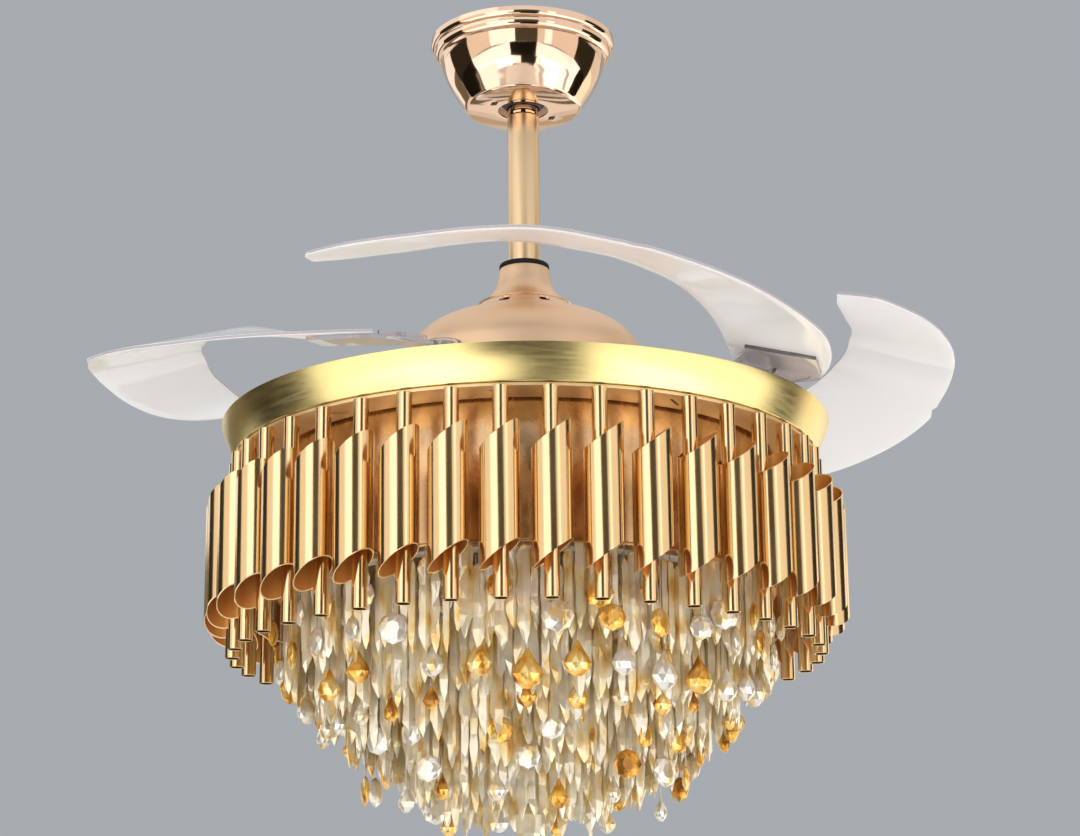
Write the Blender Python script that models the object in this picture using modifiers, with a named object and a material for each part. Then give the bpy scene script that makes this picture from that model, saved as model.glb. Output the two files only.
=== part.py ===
"""Chandelier ceiling fan: four folding clear blades over a gold tube lamp with rows of crystals.

Metres, +Z up. The origin is where the bracket meets the ceiling, on the fan's own axis.
"""

import math

import bmesh
import bpy
from mathutils import Matrix, Vector

# Clearance left between pieces that touch, and the gap beside pieces that turn.
GAP = 0.0003
RUN_GAP = 0.001

# Ceiling bracket, ball and rod.
BRACKET_END = 0.00855
BRACKET_WIDTH = 0.044
BRACKET_SHEET = 0.0025
BRACKET_SLOT = (0.014, 0.005)
SCREW_SPACING = 0.0889
STRAP_WIDTH = 0.030
BALL_R = 0.022
BALL_DROP = 0.045
LINER_WALL = 0.0020
SEAT_WALL = 0.0050
SEAT_DEPTH = 0.013
ROD_R = 0.0135
ROD_WALL = 0.0018
ROD_DROP = 0.215
PIN_R = 0.0028
ROD_SOCKET = 0.0515
COUPLING_R = 0.016
COUPLING_FLANGE_R = 0.024
COUPLING_FLANGE_HEIGHT = 0.004
COUPLING_FILLET = (0.003, 0.002)
BALL_FLAT_MARGIN = 0.001

# Canopy.
CANOPY_R = 0.0775
CANOPY_HEIGHT = 0.0615
CANOPY_WALL = 0.0012
CANOPY_DISC_R = 0.047
CANOPY_HOLE_R = 0.0215
CANOPY_STEP = 0.0035
CANOPY_SLOT = (0.0095, 0.0036)
CANOPY_SLOT_R = 0.0295
CANOPY_SLOT_ANGLES = (34.0, 214.0)
RECEIVER = (0.044, 0.024, 0.016)

# Coupling cover and motor cover.
COVER_WALL = 0.0012
COVER_TOP_R = 0.0198
COVER_FOOT_R = 0.0394
COVER_HEIGHT = 0.0335
RUBBER_HEIGHT = 0.0032
DOME_ROOM = 0.014
DOME_WALL = 0.0016
DOME_FLANGE_REACH = 0.006
VENT_COUNT = 8
VENT = (0.0085, 0.0042)

# Motor.
SHAFT_R = 0.009
SHAFT_BORE_R = 0.0055
SHAFT_END_ROOM = 0.002
MOTOR_R = 0.086
MOTOR_HEIGHT = 0.0497
MOTOR_WALL = 0.004
MOTOR_FLOOR = 0.003
BEARING_R = 0.017
BEARING_HEIGHT = 0.007
MAGNET_WALL = 0.0055
AIR_GAP = 0.003
STATOR_POLES = 12

# Rotor disc, gear and blade pivots.
PIVOT_INSET = 0.060
DISC_THICK = 0.003
DISC_MARGIN = 0.003
DISC_HUB_ROOM = 0.011
COLLAR_ROOM = 0.0117
COLLAR_WALL = 0.0055
GEAR_THICK = 0.005
GEAR_WEB = 0.0433
RING_TEETH = 128
PINION_TEETH = 24
PIVOT_PIN_R = 0.005
PIVOT_HEAD_R = 0.009
PIVOT_HEAD_HEIGHT = 0.003
PIVOT_NUT_HEIGHT = 0.0017
HUB_R = 0.015
HUB_HEIGHT = 0.0134
HUB_POCKET_R = 0.0108
HUB_POCKET_DEPTH = 0.0090
SPRING_R = 0.0075
SPRING_WIRE_R = 0.0008
SPRING_TURNS = 2

# Blades. Arc angles run clockwise, seen from above, from the pivot of a folded blade.
BLADES = 4
FIRST_PIVOT_ANGLE = 250.9
OPEN_AT_REST = 41.0
OPEN_FULL = 126.0
BLADE_THICK = 0.0028
ROOT_PLATE_THICK = 0.0030
BLADE_SEAT = 0.0007
RIB_HEIGHT = 0.0032
RIB_THICK = 0.0020
ROOT_SET_IN = 0.003
ROOT_SHOULDERS = (0.022, 0.012)
SECTOR_SET_IN = 0.0002
RIB_SET_IN = 0.006
CROSS_RIB_SET_IN = (0.008, 0.004)
# Edges of a folded blade: arc angle in degrees, distance inwards of the fold circle, and
# height over the band.
FOLD_INSET = 0.011
BLADE_OUTER = ((17, 0.006, 0.0130), (23, 0.0045, 0.0120), (30, 0.003, 0.0112), (44, 0.0, 0.0122),
               (58, 0.0, 0.0160), (72, 0.001, 0.0240), (84, 0.0035, 0.0320), (90, 0.005, 0.0365),
               (93, 0.0105, 0.0395), (94.5, 0.009, 0.0400), (98, 0.011, 0.0425),
               (110, 0.014, 0.0500), (122, 0.016, 0.0515), (134, 0.015, 0.0510),
               (146, 0.012, 0.0525), (155, 0.015, 0.0560), (162, 0.023, 0.0610))
BLADE_INNER = ((17, 0.079, 0.0288), (23, 0.082, 0.0292), (30, 0.085, 0.0305), (44, 0.091, 0.0430),
               (58, 0.097, 0.0540), (72, 0.101, 0.0600), (84, 0.103, 0.0645), (90, 0.104, 0.0660),
               (93, 0.1045, 0.0670), (94.5, 0.105, 0.0672), (98, 0.105, 0.0680),
               (110, 0.103, 0.0710), (122, 0.101, 0.0725), (134, 0.094, 0.0705),
               (146, 0.086, 0.0685), (155, 0.075, 0.0678), (162, 0.062, 0.0670))
BLADE_TIP = (167.5, 0.043, 0.0660)

# Lamp body.
LAMP_GAP = 0.004
BAND_TAPER = 0.0108
BAND_HEIGHT = 0.028
BAND_WALL = 0.0016
BAND_LIP = 0.0045
BAND_LEDGE = 0.010
BAND_SIDES = 46
PLATE_THICK = 0.002
FLANGE_R = 0.034
FLANGE_HUB_R = 0.016
FLANGE_HUB_LENGTH = 0.014
FLANGE_LIP = 0.0017
POST_R = 0.005
POST_INSET = 0.070
DRIVER_RADII = (0.040, 0.078)
DRIVER_HEIGHT = 0.018

# Tube ring.
TUBE_COUNT = 40
TUBE_RING_THICK = 0.0027
DRUM_INSET = 0.0362
DRUM_WALL = 0.0015
DRUM_SEAM = 0.003
FLOOR_SEAT = 0.008
DRUM_HEIGHT = 0.111
BIG_TUBE_R = 0.01525
BIG_TUBE_WALL = 0.0015
TUBE_OVERHANG = 0.0063
BIG_TUBE_LENGTH = 0.091
BIG_TUBE_DROP = 0.0397
TUBE_CUT_ANGLE = 37.0
THIN_TUBE_R = 0.006
THIN_TUBE_LENGTH = 0.1615
WELD_DEPTH = 0.0011

# Crystals.
CENTRE_ROD_R = 0.005
NUT_R = 0.010
NUT_HEIGHT = 0.004
LED_THICK = 0.001
LED_WIDTH = 0.012
HOOP_WIDTH = 0.008
HOOP_THICK = 0.0027
ROW_COUNT = 6
ROW_INSET = 0.006
ROW_PITCH = 0.0262
FIRST_ROW_LENGTH = 0.078
ROW_EXTRA_LENGTHS = (0.0, 0.032, 0.055, 0.074, 0.092, 0.109)
CRYSTAL_SPACING = 0.042
CRYSTAL_R = 0.0078
CRYSTAL_LENGTH = 0.070
STRING_R = 0.0014
FINIAL_R = 0.013
FINIAL_DROP = 0.208
FINIAL_CAP_HEIGHT = 0.006
FINIAL_CAP_TAPER = 0.002

# Radii worked out outwards from the motor, with the ring gear round its cover, and the
# pivots and the band round the ring gear. Its plain rim lies two modules inside its teeth.
DOME_R = MOTOR_R + DOME_ROOM
COLLAR_R = DOME_R + COLLAR_ROOM
RING_PITCH_R = (COLLAR_R + GEAR_WEB) / (1 - 4 / RING_TEETH)
GEAR_MODULE = 2 * RING_PITCH_R / RING_TEETH
PINION_PITCH_R = GEAR_MODULE * PINION_TEETH / 2
PIVOT_R = RING_PITCH_R + PINION_PITCH_R
BAND_TOP_R = PIVOT_R + PIVOT_INSET
FOLD_CIRCLE_R = BAND_TOP_R - FOLD_INSET
POST_CIRCLE_R = BAND_TOP_R - POST_INSET
BAND_FOOT_R = BAND_TOP_R - BAND_TAPER
BIG_TUBE_CIRCLE_R = BAND_FOOT_R + TUBE_OVERHANG
DRUM_R = BAND_FOOT_R - DRUM_INSET
ROW_OUTER_R = DRUM_R - ROW_INSET

# Heights worked out downwards from the ceiling, each with one clear cause.
ROD_END_Z = -BALL_DROP - ROD_DROP
COUPLING_TOP_Z = ROD_END_Z + ROD_SOCKET
COUPLING_WEB = 0.0065
SHAFT_SOCKET = 0.0235
COUPLING_FOOT_Z = ROD_END_Z - COUPLING_WEB - SHAFT_SOCKET
MOTOR_TOP_Z = COUPLING_FOOT_Z - RUN_GAP
MOTOR_FOOT_Z = MOTOR_TOP_Z - MOTOR_HEIGHT
DISC_TOP_Z = MOTOR_FOOT_Z - GAP
DISC_FOOT_Z = DISC_TOP_Z - DISC_THICK
BAND_Z = DISC_FOOT_Z - LAMP_GAP
GEAR_TOP_Z = DISC_TOP_Z + GAP + GEAR_THICK
COLLAR_TOP_Z = GEAR_TOP_Z + GAP
DOME_FOOT_Z = COLLAR_TOP_Z + GAP
COVER_TOP_Z = COUPLING_TOP_Z + GAP + COVER_WALL
COVER_FOOT_Z = COVER_TOP_Z - COVER_HEIGHT
DOME_TOP_Z = COVER_FOOT_Z - RUN_GAP
LAMP_TOP_Z = BAND_Z - BAND_WALL - GAP
BAND_FOOT_Z = BAND_Z - BAND_HEIGHT
TUBE_RING_Z = BAND_FOOT_Z - GAP
LAMP_FLOOR_TOP_Z = BAND_FOOT_Z + PLATE_THICK
DRUM_TOP_Z = BAND_FOOT_Z - GAP
DRUM_FOOT_Z = DRUM_TOP_Z - DRUM_HEIGHT
CRYSTAL_PLATE_Z = DRUM_FOOT_Z - GAP
HANG_Z = CRYSTAL_PLATE_Z - PLATE_THICK - GAP

# How the gears turn each other, and the shape of their teeth.
GEAR_RATIO = PINION_TEETH / RING_TEETH
PRESSURE_ANGLE = math.radians(20)
BACKLASH = 0.00015

parts = bpy.data.collections.new("chandelier_ceiling_fan")
cutters = bpy.data.collections.new("cutters")


def clear_scene():
    for old in list(bpy.data.objects):
        bpy.data.objects.remove(old)
    bpy.context.scene.collection.children.link(parts)
    bpy.context.scene.collection.children.link(cutters)


def material(name, colour, roughness, metallic, alpha=1.0):
    found = bpy.data.materials.get(name)
    if found:
        return found
    made = bpy.data.materials.new(name)
    made.use_nodes = True
    shader = made.node_tree.nodes["Principled BSDF"]
    shader.inputs["Base Color"].default_value = (*colour, 1.0)
    shader.inputs["Roughness"].default_value = roughness
    shader.inputs["Metallic"].default_value = metallic
    shader.inputs["Alpha"].default_value = alpha
    made.diffuse_color = (*colour, alpha)
    return made


def rose_gold():
    return material("polished_rose_gold", (0.78, 0.47, 0.33), 0.12, 1.0)


def satin_peach():
    return material("satin_peach", (0.80, 0.52, 0.36), 0.35, 1.0)


def satin_gold():
    return material("satin_gold", (0.83, 0.66, 0.40), 0.30, 1.0)


def brushed_gold():
    return material("brushed_gold", (0.80, 0.67, 0.33), 0.32, 1.0)


def tube_gold():
    return material("tube_gold", (0.86, 0.62, 0.28), 0.22, 1.0)


def mirror_rose():
    return material("mirror_rose", (0.62, 0.36, 0.25), 0.10, 1.0)


def steel():
    return material("zinc_steel", (0.56, 0.56, 0.57), 0.40, 1.0)


def black_steel():
    return material("black_steel", (0.08, 0.08, 0.085), 0.50, 0.8)


def clear_acrylic():
    return material("clear_acrylic", (0.93, 0.90, 0.91), 0.08, 0.0, 0.4)


def crystal():
    return material("crystal", (0.95, 0.91, 0.82), 0.03, 0.0, 0.5)


def black_rubber():
    return material("black_rubber", (0.015, 0.015, 0.015), 0.75, 0.0)


def nylon():
    return material("white_nylon", (0.80, 0.79, 0.75), 0.55, 0.0)


def black_plastic():
    return material("black_plastic", (0.03, 0.03, 0.032), 0.50, 0.0)


def magnet():
    return material("ferrite", (0.10, 0.10, 0.11), 0.60, 0.3)


def copper():
    return material("wound_copper", (0.55, 0.24, 0.10), 0.40, 1.0)


def led_board():
    return material("led_board", (0.88, 0.87, 0.82), 0.50, 0.0)


def place(obj, finish, collection=parts):
    """Links an object, gives it its finish and smooths its round faces."""
    collection.objects.link(obj)
    if obj.type == "MESH":
        obj.data.materials.append(finish)
        obj.data.shade_smooth()
        obj.data.set_sharp_from_angle(angle=math.radians(32))
    return obj


def turned(name, profile, finish, sides=48, wall=0.0, ring=True):
    """A profile of (radius, height) points spun about the object's Z axis.

    ring closes the profile on itself. With a wall the profile is an open skin,
    and the wall grows inwards from it.
    """
    mesh = bpy.data.meshes.new(name)
    count = len(profile)
    edges = [(i, i + 1) for i in range(count - 1)]
    if ring and not wall:
        edges.append((count - 1, 0))
    mesh.from_pydata([(r, 0.0, z) for r, z in profile], edges, [])
    obj = place(bpy.data.objects.new(name, mesh), finish)
    spin = obj.modifiers.new("spin", "SCREW")
    spin.angle = math.tau
    spin.steps = sides
    spin.render_steps = sides
    spin.use_merge_vertices = True
    spin.merge_threshold = 1e-5
    if wall:
        skin = obj.modifiers.new("wall", "SOLIDIFY")
        skin.thickness = wall
        skin.offset = -1.0
        skin.use_even_offset = True
    return obj


def disc_ring(name, inner, outer, top, thick, finish, sides=64):
    """A flat round plate with a central hole."""
    foot = top - thick
    profile = ((outer, top), (outer, foot), (inner, foot), (inner, top))
    return turned(name, profile, finish, sides)


def mesh_object(name, bm, finish, collection=parts):
    bmesh.ops.recalc_face_normals(bm, faces=bm.faces)
    mesh = bpy.data.meshes.new(name)
    bm.to_mesh(mesh)
    bm.free()
    return place(bpy.data.objects.new(name, mesh), finish, collection)


def cylinder(name, radius, length, finish, sides=24, collection=parts):
    """A solid cylinder on the object's Z axis, centred on its origin."""
    bm = bmesh.new()
    bmesh.ops.create_cone(bm, cap_ends=True, segments=sides, radius1=radius,
                          radius2=radius, depth=length)
    return mesh_object(name, bm, finish, collection)


def block(name, size, finish, collection=parts):
    bm = bmesh.new()
    bmesh.ops.create_cube(bm, size=1.0)
    bmesh.ops.scale(bm, vec=Vector(size), verts=bm.verts)
    return mesh_object(name, bm, finish, collection)


def flat_shape(name, outlines, foot, thick, finish, collection=parts):
    """A flat plate from 2D outlines, the later ones being holes, as a welded mesh."""
    curve = bpy.data.curves.new(name, "CURVE")
    curve.dimensions = "2D"
    curve.fill_mode = "BOTH"
    curve.extrude = thick / 2
    for points in outlines:
        spline = curve.splines.new("POLY")
        spline.points.add(len(points) - 1)
        for point, (x, y) in zip(spline.points, points):
            point.co = (x, y, 0.0, 1.0)
        spline.use_cyclic_u = True
    guide = bpy.data.objects.new(name + "_outline", curve)
    bpy.context.scene.collection.objects.link(guide)
    view = bpy.context.evaluated_depsgraph_get()
    mesh = bpy.data.meshes.new_from_object(guide.evaluated_get(view))
    bpy.data.objects.remove(guide)
    bpy.data.curves.remove(curve)
    bm = bmesh.new()
    bm.from_mesh(mesh)
    bpy.data.meshes.remove(mesh)
    bmesh.ops.remove_doubles(bm, verts=bm.verts, dist=1e-6)
    bmesh.ops.translate(bm, vec=(0, 0, foot + thick / 2), verts=bm.verts)
    return mesh_object(name, bm, finish, collection)


def combine(obj, other, operation):
    """Cuts or joins with a second object, which becomes a hidden guide."""
    change = obj.modifiers.new(other.name, "BOOLEAN")
    change.operation = operation
    change.solver = "EXACT"
    change.object = other
    other.hide_render = True
    other.display_type = "WIRE"
    for home in list(other.users_collection):
        home.objects.unlink(other)
    cutters.objects.link(other)
    return obj


def cut(obj, other):
    return combine(obj, other, "DIFFERENCE")


def join(obj, other):
    return combine(obj, other, "UNION")


def circle(radius, sides, centre=(0.0, 0.0), start=0.0):
    return [(centre[0] + radius * math.cos(start + math.tau * i / sides),
             centre[1] + radius * math.sin(start + math.tau * i / sides))
            for i in range(sides)]


def slot_outline(length, width, centre, angle, end_points=4):
    """A slot with round ends, turned by an angle in degrees about its own centre."""
    points = []
    for side in (1, -1):
        for step in range(end_points):
            bend = math.radians(-90 + 180 / (end_points - 1) * step)
            x = side * (length - width) / 2 + side * width / 2 * math.cos(bend)
            y = side * width / 2 * math.sin(bend)
            points.append((x, y))
    turn = Matrix.Rotation(math.radians(angle), 2)
    return [tuple(turn @ Vector(p) + Vector(centre)) for p in points]


def polar(radius, degrees):
    return radius * math.cos(math.radians(degrees)), radius * math.sin(math.radians(degrees))


def hole_radius(radius, sides):
    """Corner radius of a many-sided hole that a round of this radius turns in freely."""
    return (radius + GAP) / math.cos(math.pi / sides)


def cross_bore(obj, radius, z, length, axis="X"):
    """A round hole straight through a piece, square to its axis."""
    tool = cylinder(obj.name + "_bore_tool", radius, length, steel(), 10)
    tool.location = (0, 0, z)
    tool.rotation_euler = (0, math.pi / 2, 0) if axis == "X" else (math.pi / 2, 0, 0)
    return cut(obj, tool)


def make_hanger_bracket():
    """Ceiling plate, two straps and the ring that the ball sits in."""
    seat_top = -BALL_DROP
    inner = BALL_R + LINER_WALL + 2 * GAP
    seat_r = inner + SEAT_WALL
    strap_x = seat_r - BRACKET_SHEET
    half_x = (SCREW_SPACING + BRACKET_SLOT[0]) / 2 + BRACKET_END
    half_y = BRACKET_WIDTH / 2
    plate = [(half_x, -half_y), (half_x, half_y), (-half_x, half_y), (-half_x, -half_y)]
    slots = [slot_outline(*BRACKET_SLOT, (side * SCREW_SPACING / 2, 0), 0, 9)
             for side in (1, -1)]
    bracket = flat_shape("hanger_bracket", [plate, *slots], -BRACKET_SHEET,
                         BRACKET_SHEET, steel())
    arc = [math.radians(a) for a in range(0, 31, 10)]
    socket = [(inner * math.cos(a), seat_top - inner * math.sin(a)) for a in arc]
    low = seat_top - inner * math.sin(arc[-1])
    profile = [(seat_r, seat_top), (seat_r, low), *reversed(socket)]
    join(bracket, turned("bracket_seat", profile, steel(), 20))
    strap_length = BALL_DROP + inner * math.sin(arc[-1]) / 2 - BRACKET_SHEET / 2
    for side, label in ((1, "right"), (-1, "left")):
        strap = block("strap_" + label, (BRACKET_SHEET, STRAP_WIDTH, strap_length), steel())
        strap.location = (side * (strap_x + BRACKET_SHEET / 2), 0,
                          -BRACKET_SHEET / 2 - strap_length / 2)
        join(bracket, strap)
    return bracket


def canopy_profile():
    """Stepped rim, then a cup that curves in to the flat bottom disc."""
    step = CANOPY_STEP
    r, h = CANOPY_R, CANOPY_HEIGHT
    rim = [(r, -GAP), (r, -h * 0.12), (r - step, -h * 0.15), (r - step, -h * 0.28)]
    start = Vector((r - 2.4 * step, -h * 0.31))
    bulge = Vector((r - 3.6 * step, -h * 0.72))
    end = Vector((CANOPY_DISC_R, -h))
    steps = 4
    cup = []
    for i in range(steps + 1):
        t = i / steps
        cup.append(tuple(start * (1 - t) ** 2 + bulge * 2 * t * (1 - t) + end * t ** 2))
    return [*rim, *cup, (CANOPY_HOLE_R, -h)]


def make_canopy():
    canopy = turned("canopy", canopy_profile(), rose_gold(), 24, CANOPY_WALL)
    for n, angle in enumerate(CANOPY_SLOT_ANGLES):
        centre = polar(CANOPY_SLOT_R, angle)
        outline = slot_outline(*CANOPY_SLOT, centre, angle + 90)
        tool = flat_shape(f"canopy_slot_tool_{n}", [outline],
                          -CANOPY_HEIGHT - 2 * CANOPY_WALL, 6 * CANOPY_WALL, steel())
        cut(canopy, tool)
        shank_r = CANOPY_SLOT[1] / 2 - GAP
        screw = turned(f"canopy_screw_{n + 1}", screw_profile(shank_r), black_steel(), 10,
                       ring=False)
        screw.location = (*centre, 0)
    return canopy


def screw_profile(shank_r):
    """Shank from the ball seat down through the canopy's slot, with a head below it."""
    seat_foot = -BALL_DROP - (BALL_R + LINER_WALL + 2 * GAP) * math.sin(math.radians(30))
    head_top = -CANOPY_HEIGHT - GAP
    head_r = shank_r * 2.0
    head_foot = head_top - shank_r
    top = seat_foot - GAP
    return [(0, top), (shank_r, top), (shank_r, head_top), (head_r, head_top),
            (head_r * 0.8, head_foot), (0, head_foot)]


def make_receiver():
    ball_top = -BALL_DROP + math.sqrt(BALL_R ** 2 - (ROD_R + GAP) ** 2)
    width, depth, height = RECEIVER
    box = block("remote_receiver", RECEIVER, black_plastic())
    box.location = (0, 0, -BRACKET_SHEET - GAP - height / 2)
    edge = box.modifiers.new("edge", "BEVEL")
    edge.width = min(height, -BRACKET_SHEET - ball_top) / 10
    edge.segments = 1
    return box


def sphere_points(radius, low, high, steps, centre):
    """Points down the side of a ball between two angles from its equator, in degrees."""
    angles = [high + (low - high) * i / steps for i in range(steps + 1)]
    return [(radius * math.cos(math.radians(a)), centre + radius * math.sin(math.radians(a)))
            for a in angles]


def make_swivel():
    """The ball, its nylon liner and its cross pin."""
    liner_r = BALL_R + GAP
    outer = sphere_points(liner_r + LINER_WALL, -31, -4, 3, -BALL_DROP)
    inner = sphere_points(liner_r, -31, -4, 3, -BALL_DROP)
    turned("swivel_liner", [*outer, *reversed(inner)], nylon(), 20)
    bore = ROD_R + GAP
    flat = math.degrees(math.acos((bore + BALL_FLAT_MARGIN) / BALL_R))
    skin = sphere_points(BALL_R, -flat, flat, 6, -BALL_DROP)
    ball = turned("hanger_ball", [*skin, (bore, skin[-1][1]), (bore, skin[0][1])],
                  black_plastic(), 20)
    pin_z = -BALL_DROP + BALL_R * 0.35
    reach = math.sqrt(BALL_R ** 2 - (pin_z + BALL_DROP) ** 2)
    cross_bore(ball, PIN_R + GAP, pin_z, 3 * BALL_R)
    pin = cylinder("ball_pin", PIN_R, 2 * reach - 4 * PIN_R, steel(), 10)
    pin.location = (0, 0, pin_z)
    pin.rotation_euler = (0, math.pi / 2, 0)
    return pin_z


def make_rod(ball_pin_z, rod_pin_z):
    top = -BALL_DROP + math.sqrt(BALL_R ** 2 - (ROD_R + GAP) ** 2) * 0.9
    bore = ROD_R - ROD_WALL
    profile = [(ROD_R, top), (ROD_R, ROD_END_Z), (bore, ROD_END_Z), (bore, top)]
    rod = turned("downrod", profile, satin_gold(), 20)
    cross_bore(rod, PIN_R + GAP, ball_pin_z, 3 * ROD_R)
    cross_bore(rod, PIN_R + GAP, rod_pin_z, 3 * ROD_R)


def make_coupling(rod_pin_z, shaft_pin_z):
    """Turned coupling: the rod pins in from above and the motor shaft from below."""
    rod_bore, shaft_bore = ROD_R + GAP, SHAFT_R + GAP
    web_top, web_foot = ROD_END_Z - GAP, ROD_END_Z - COUPLING_WEB
    flange_top = COUPLING_FOOT_Z + COUPLING_FLANGE_HEIGHT
    across, up = COUPLING_FILLET
    profile = [(COUPLING_R, COUPLING_TOP_Z), (COUPLING_R, flange_top + up),
               (COUPLING_R + across, flange_top), (COUPLING_FLANGE_R, flange_top),
               (COUPLING_FLANGE_R, COUPLING_FOOT_Z), (shaft_bore, COUPLING_FOOT_Z),
               (shaft_bore, web_foot), (SHAFT_BORE_R, web_foot), (SHAFT_BORE_R, web_top),
               (rod_bore, web_top), (rod_bore, COUPLING_TOP_Z)]
    body = turned("motor_coupling", profile, steel(), 18)
    cross_bore(body, PIN_R + GAP, rod_pin_z, 4 * COUPLING_R)
    cross_bore(body, PIN_R + GAP, shaft_pin_z, 4 * COUPLING_R)
    for name, z in (("rod_pin", rod_pin_z), ("shaft_pin", shaft_pin_z)):
        pin = cylinder(name, PIN_R, 2 * COUPLING_R, steel(), 10)
        pin.location = (0, 0, z)
        pin.rotation_euler = (0, math.pi / 2, 0)


def make_covers():
    """Rubber ring, cone and dome. The cone is still and the dome turns with the motor."""
    hole = ROD_R + GAP
    foot = COVER_TOP_Z + GAP
    ring = [(COVER_TOP_R * 0.98, foot + RUBBER_HEIGHT), (COVER_TOP_R * 1.04, foot),
            (hole, foot), (hole, foot + RUBBER_HEIGHT)]
    turned("rubber_ring", ring, black_rubber(), 24)
    flare = [(0.0, 0.0), (0.13, 0.38), (0.34, 0.70), (0.62, 0.90), (1.0, 1.0)]
    span = COVER_FOOT_R - COVER_TOP_R
    cone = [(COVER_TOP_R + span * across, COVER_TOP_Z - COVER_HEIGHT * down)
            for across, down in flare]
    turned("coupling_cover", [(hole, COVER_TOP_Z), *cone], satin_peach(), 26, COVER_WALL)
    brow_r = COVER_FOOT_R - COVER_WALL
    drop = DOME_TOP_Z - DOME_FOOT_Z - DOME_WALL
    curve = [(0.0, 0.0), (0.31, 0.115), (0.56, 0.195), (0.75, 0.27), (0.89, 0.38),
             (0.97, 0.50), (1.0, 0.64)]
    dome = [(brow_r + (DOME_R - brow_r) * across, DOME_TOP_Z - drop * down)
            for across, down in curve]
    rest = DOME_FOOT_Z + DOME_WALL
    flange_r = COLLAR_R + GAP + DOME_FLANGE_REACH
    cover = turned("motor_cover", [*dome, (DOME_R, rest), (flange_r, rest)], satin_peach(),
                   30, DOME_WALL)
    vent_r = COVER_FOOT_R + VENT[1] * 1.1
    for n in range(VENT_COUNT):
        angle = 360 / VENT_COUNT * (n + 0.5)
        outline = slot_outline(*VENT, polar(vent_r, angle), angle + 90)
        tool = flat_shape(f"vent_tool_{n}", [outline], DOME_TOP_Z - drop * 0.2, drop * 0.2,
                          steel())
        cut(cover, tool)


def make_motor(shaft_pin_z):
    floor, wall = MOTOR_FLOOR, MOTOR_WALL
    seam = (MOTOR_TOP_Z + MOTOR_FOOT_Z) / 2
    lip_r = BEARING_R - wall
    seat_r = BEARING_R + GAP
    boss_r = seat_r + wall
    lip = floor * 0.35
    inner = MOTOR_R - wall
    shaft_top = ROD_END_Z - COUPLING_WEB - GAP
    shaft_foot = LAMP_TOP_Z - PLATE_THICK - GAP - FLANGE_HUB_LENGTH + SHAFT_END_ROOM
    shaft = [(SHAFT_R, shaft_top), (SHAFT_R, shaft_foot), (SHAFT_BORE_R, shaft_foot),
             (SHAFT_BORE_R, shaft_top)]
    spindle = turned("motor_shaft", shaft, steel(), 16)
    cross_bore(spindle, PIN_R + GAP, shaft_pin_z, 3 * SHAFT_R)
    for name, face, way, gap in (("motor_bell_lower", MOTOR_FOOT_Z, 1, -GAP / 2),
                                 ("motor_bell_upper", MOTOR_TOP_Z, -1, GAP / 2)):
        rim = seam + gap
        race = face + way * (lip + BEARING_HEIGHT + 2 * GAP)
        bell = [(MOTOR_R, rim), (MOTOR_R, face), (lip_r, face), (lip_r, face + way * lip),
                (seat_r, face + way * lip), (seat_r, race), (boss_r, race),
                (boss_r, face + way * floor), (inner, face + way * floor), (inner, rim)]
        if way < 0:
            bell.reverse()
        turned(name, bell, black_steel(), 22)
    for name, face, way in (("lower_bearing", MOTOR_FOOT_Z, 1),
                            ("upper_bearing", MOTOR_TOP_Z, -1)):
        near = face + way * (lip + GAP)
        far = near + way * BEARING_HEIGHT
        top, foot = max(near, far), min(near, far)
        race = [(BEARING_R, top), (BEARING_R, foot), (SHAFT_R + GAP, foot),
                (SHAFT_R + GAP, top)]
        turned(name, race, steel(), 16)
    magnet_r = inner - GAP
    magnet_top = MOTOR_TOP_Z - floor - RUN_GAP
    magnet_foot = MOTOR_FOOT_Z + floor + RUN_GAP
    disc_ring("magnet_ring", magnet_r - MAGNET_WALL, magnet_r, magnet_top,
              magnet_top - magnet_foot, magnet(), 22)
    make_stator(magnet_r - MAGNET_WALL - AIR_GAP, magnet_top, magnet_foot)


def make_stator(outer, top, foot):
    """Laminated core with one T-shaped pole for each coil."""
    outline = []
    pitch = 360 / STATOR_POLES
    for n in range(STATOR_POLES):
        middle = n * pitch
        for radius, spread in ((0.42, -0.40), (0.84, -0.34), (1.0, -0.42), (1.0, 0.42),
                               (0.84, 0.34), (0.42, 0.40)):
            outline.append(polar(outer * radius, middle + pitch * spread))
    inset = (BEARING_HEIGHT + MOTOR_FLOOR) * 0.9
    flat_shape("stator", [outline, circle(SHAFT_R + GAP, 16)], foot + inset,
               top - foot - 2 * inset, copper())


def involute_half_angle(radius, pitch_r, teeth):
    """Half the angle that a tooth covers at a radius, from its involute sides."""
    base_r = pitch_r * math.cos(PRESSURE_ANGLE)
    bend = math.acos(min(1.0, base_r / radius))
    at_pitch = math.pi / (2 * teeth) - BACKLASH / pitch_r
    lift = math.tan(PRESSURE_ANGLE) - PRESSURE_ANGLE
    return at_pitch + lift - (math.tan(bend) - bend)


def tooth(middle, pitch_r, teeth):
    """The four corners of one tooth, whose straight sides lie inside its involutes."""
    tip = pitch_r + GEAR_MODULE
    root = pitch_r - 1.25 * GEAR_MODULE
    base = pitch_r * math.cos(PRESSURE_ANGLE)
    points = []
    for radius, side in ((root, -1), (tip, -1), (tip, 1), (root, 1)):
        half = math.degrees(involute_half_angle(max(radius, base), pitch_r, teeth))
        points.append(polar(radius, middle + side * half))
    return points


def toothed_outline(pitch_r, teeth, plain_r, in_mesh, plain_step):
    """A wheel's outline with teeth only where in_mesh says, and a plain rim elsewhere."""
    outline = []
    pitch = 360 / teeth
    last_plain = -1e9
    for n in range(teeth):
        middle = n * pitch
        if in_mesh(middle):
            outline.extend(tooth(middle, pitch_r, teeth))
        elif middle - last_plain >= plain_step:
            outline.append(polar(plain_r, middle))
            last_plain = middle
    return outline


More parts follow.
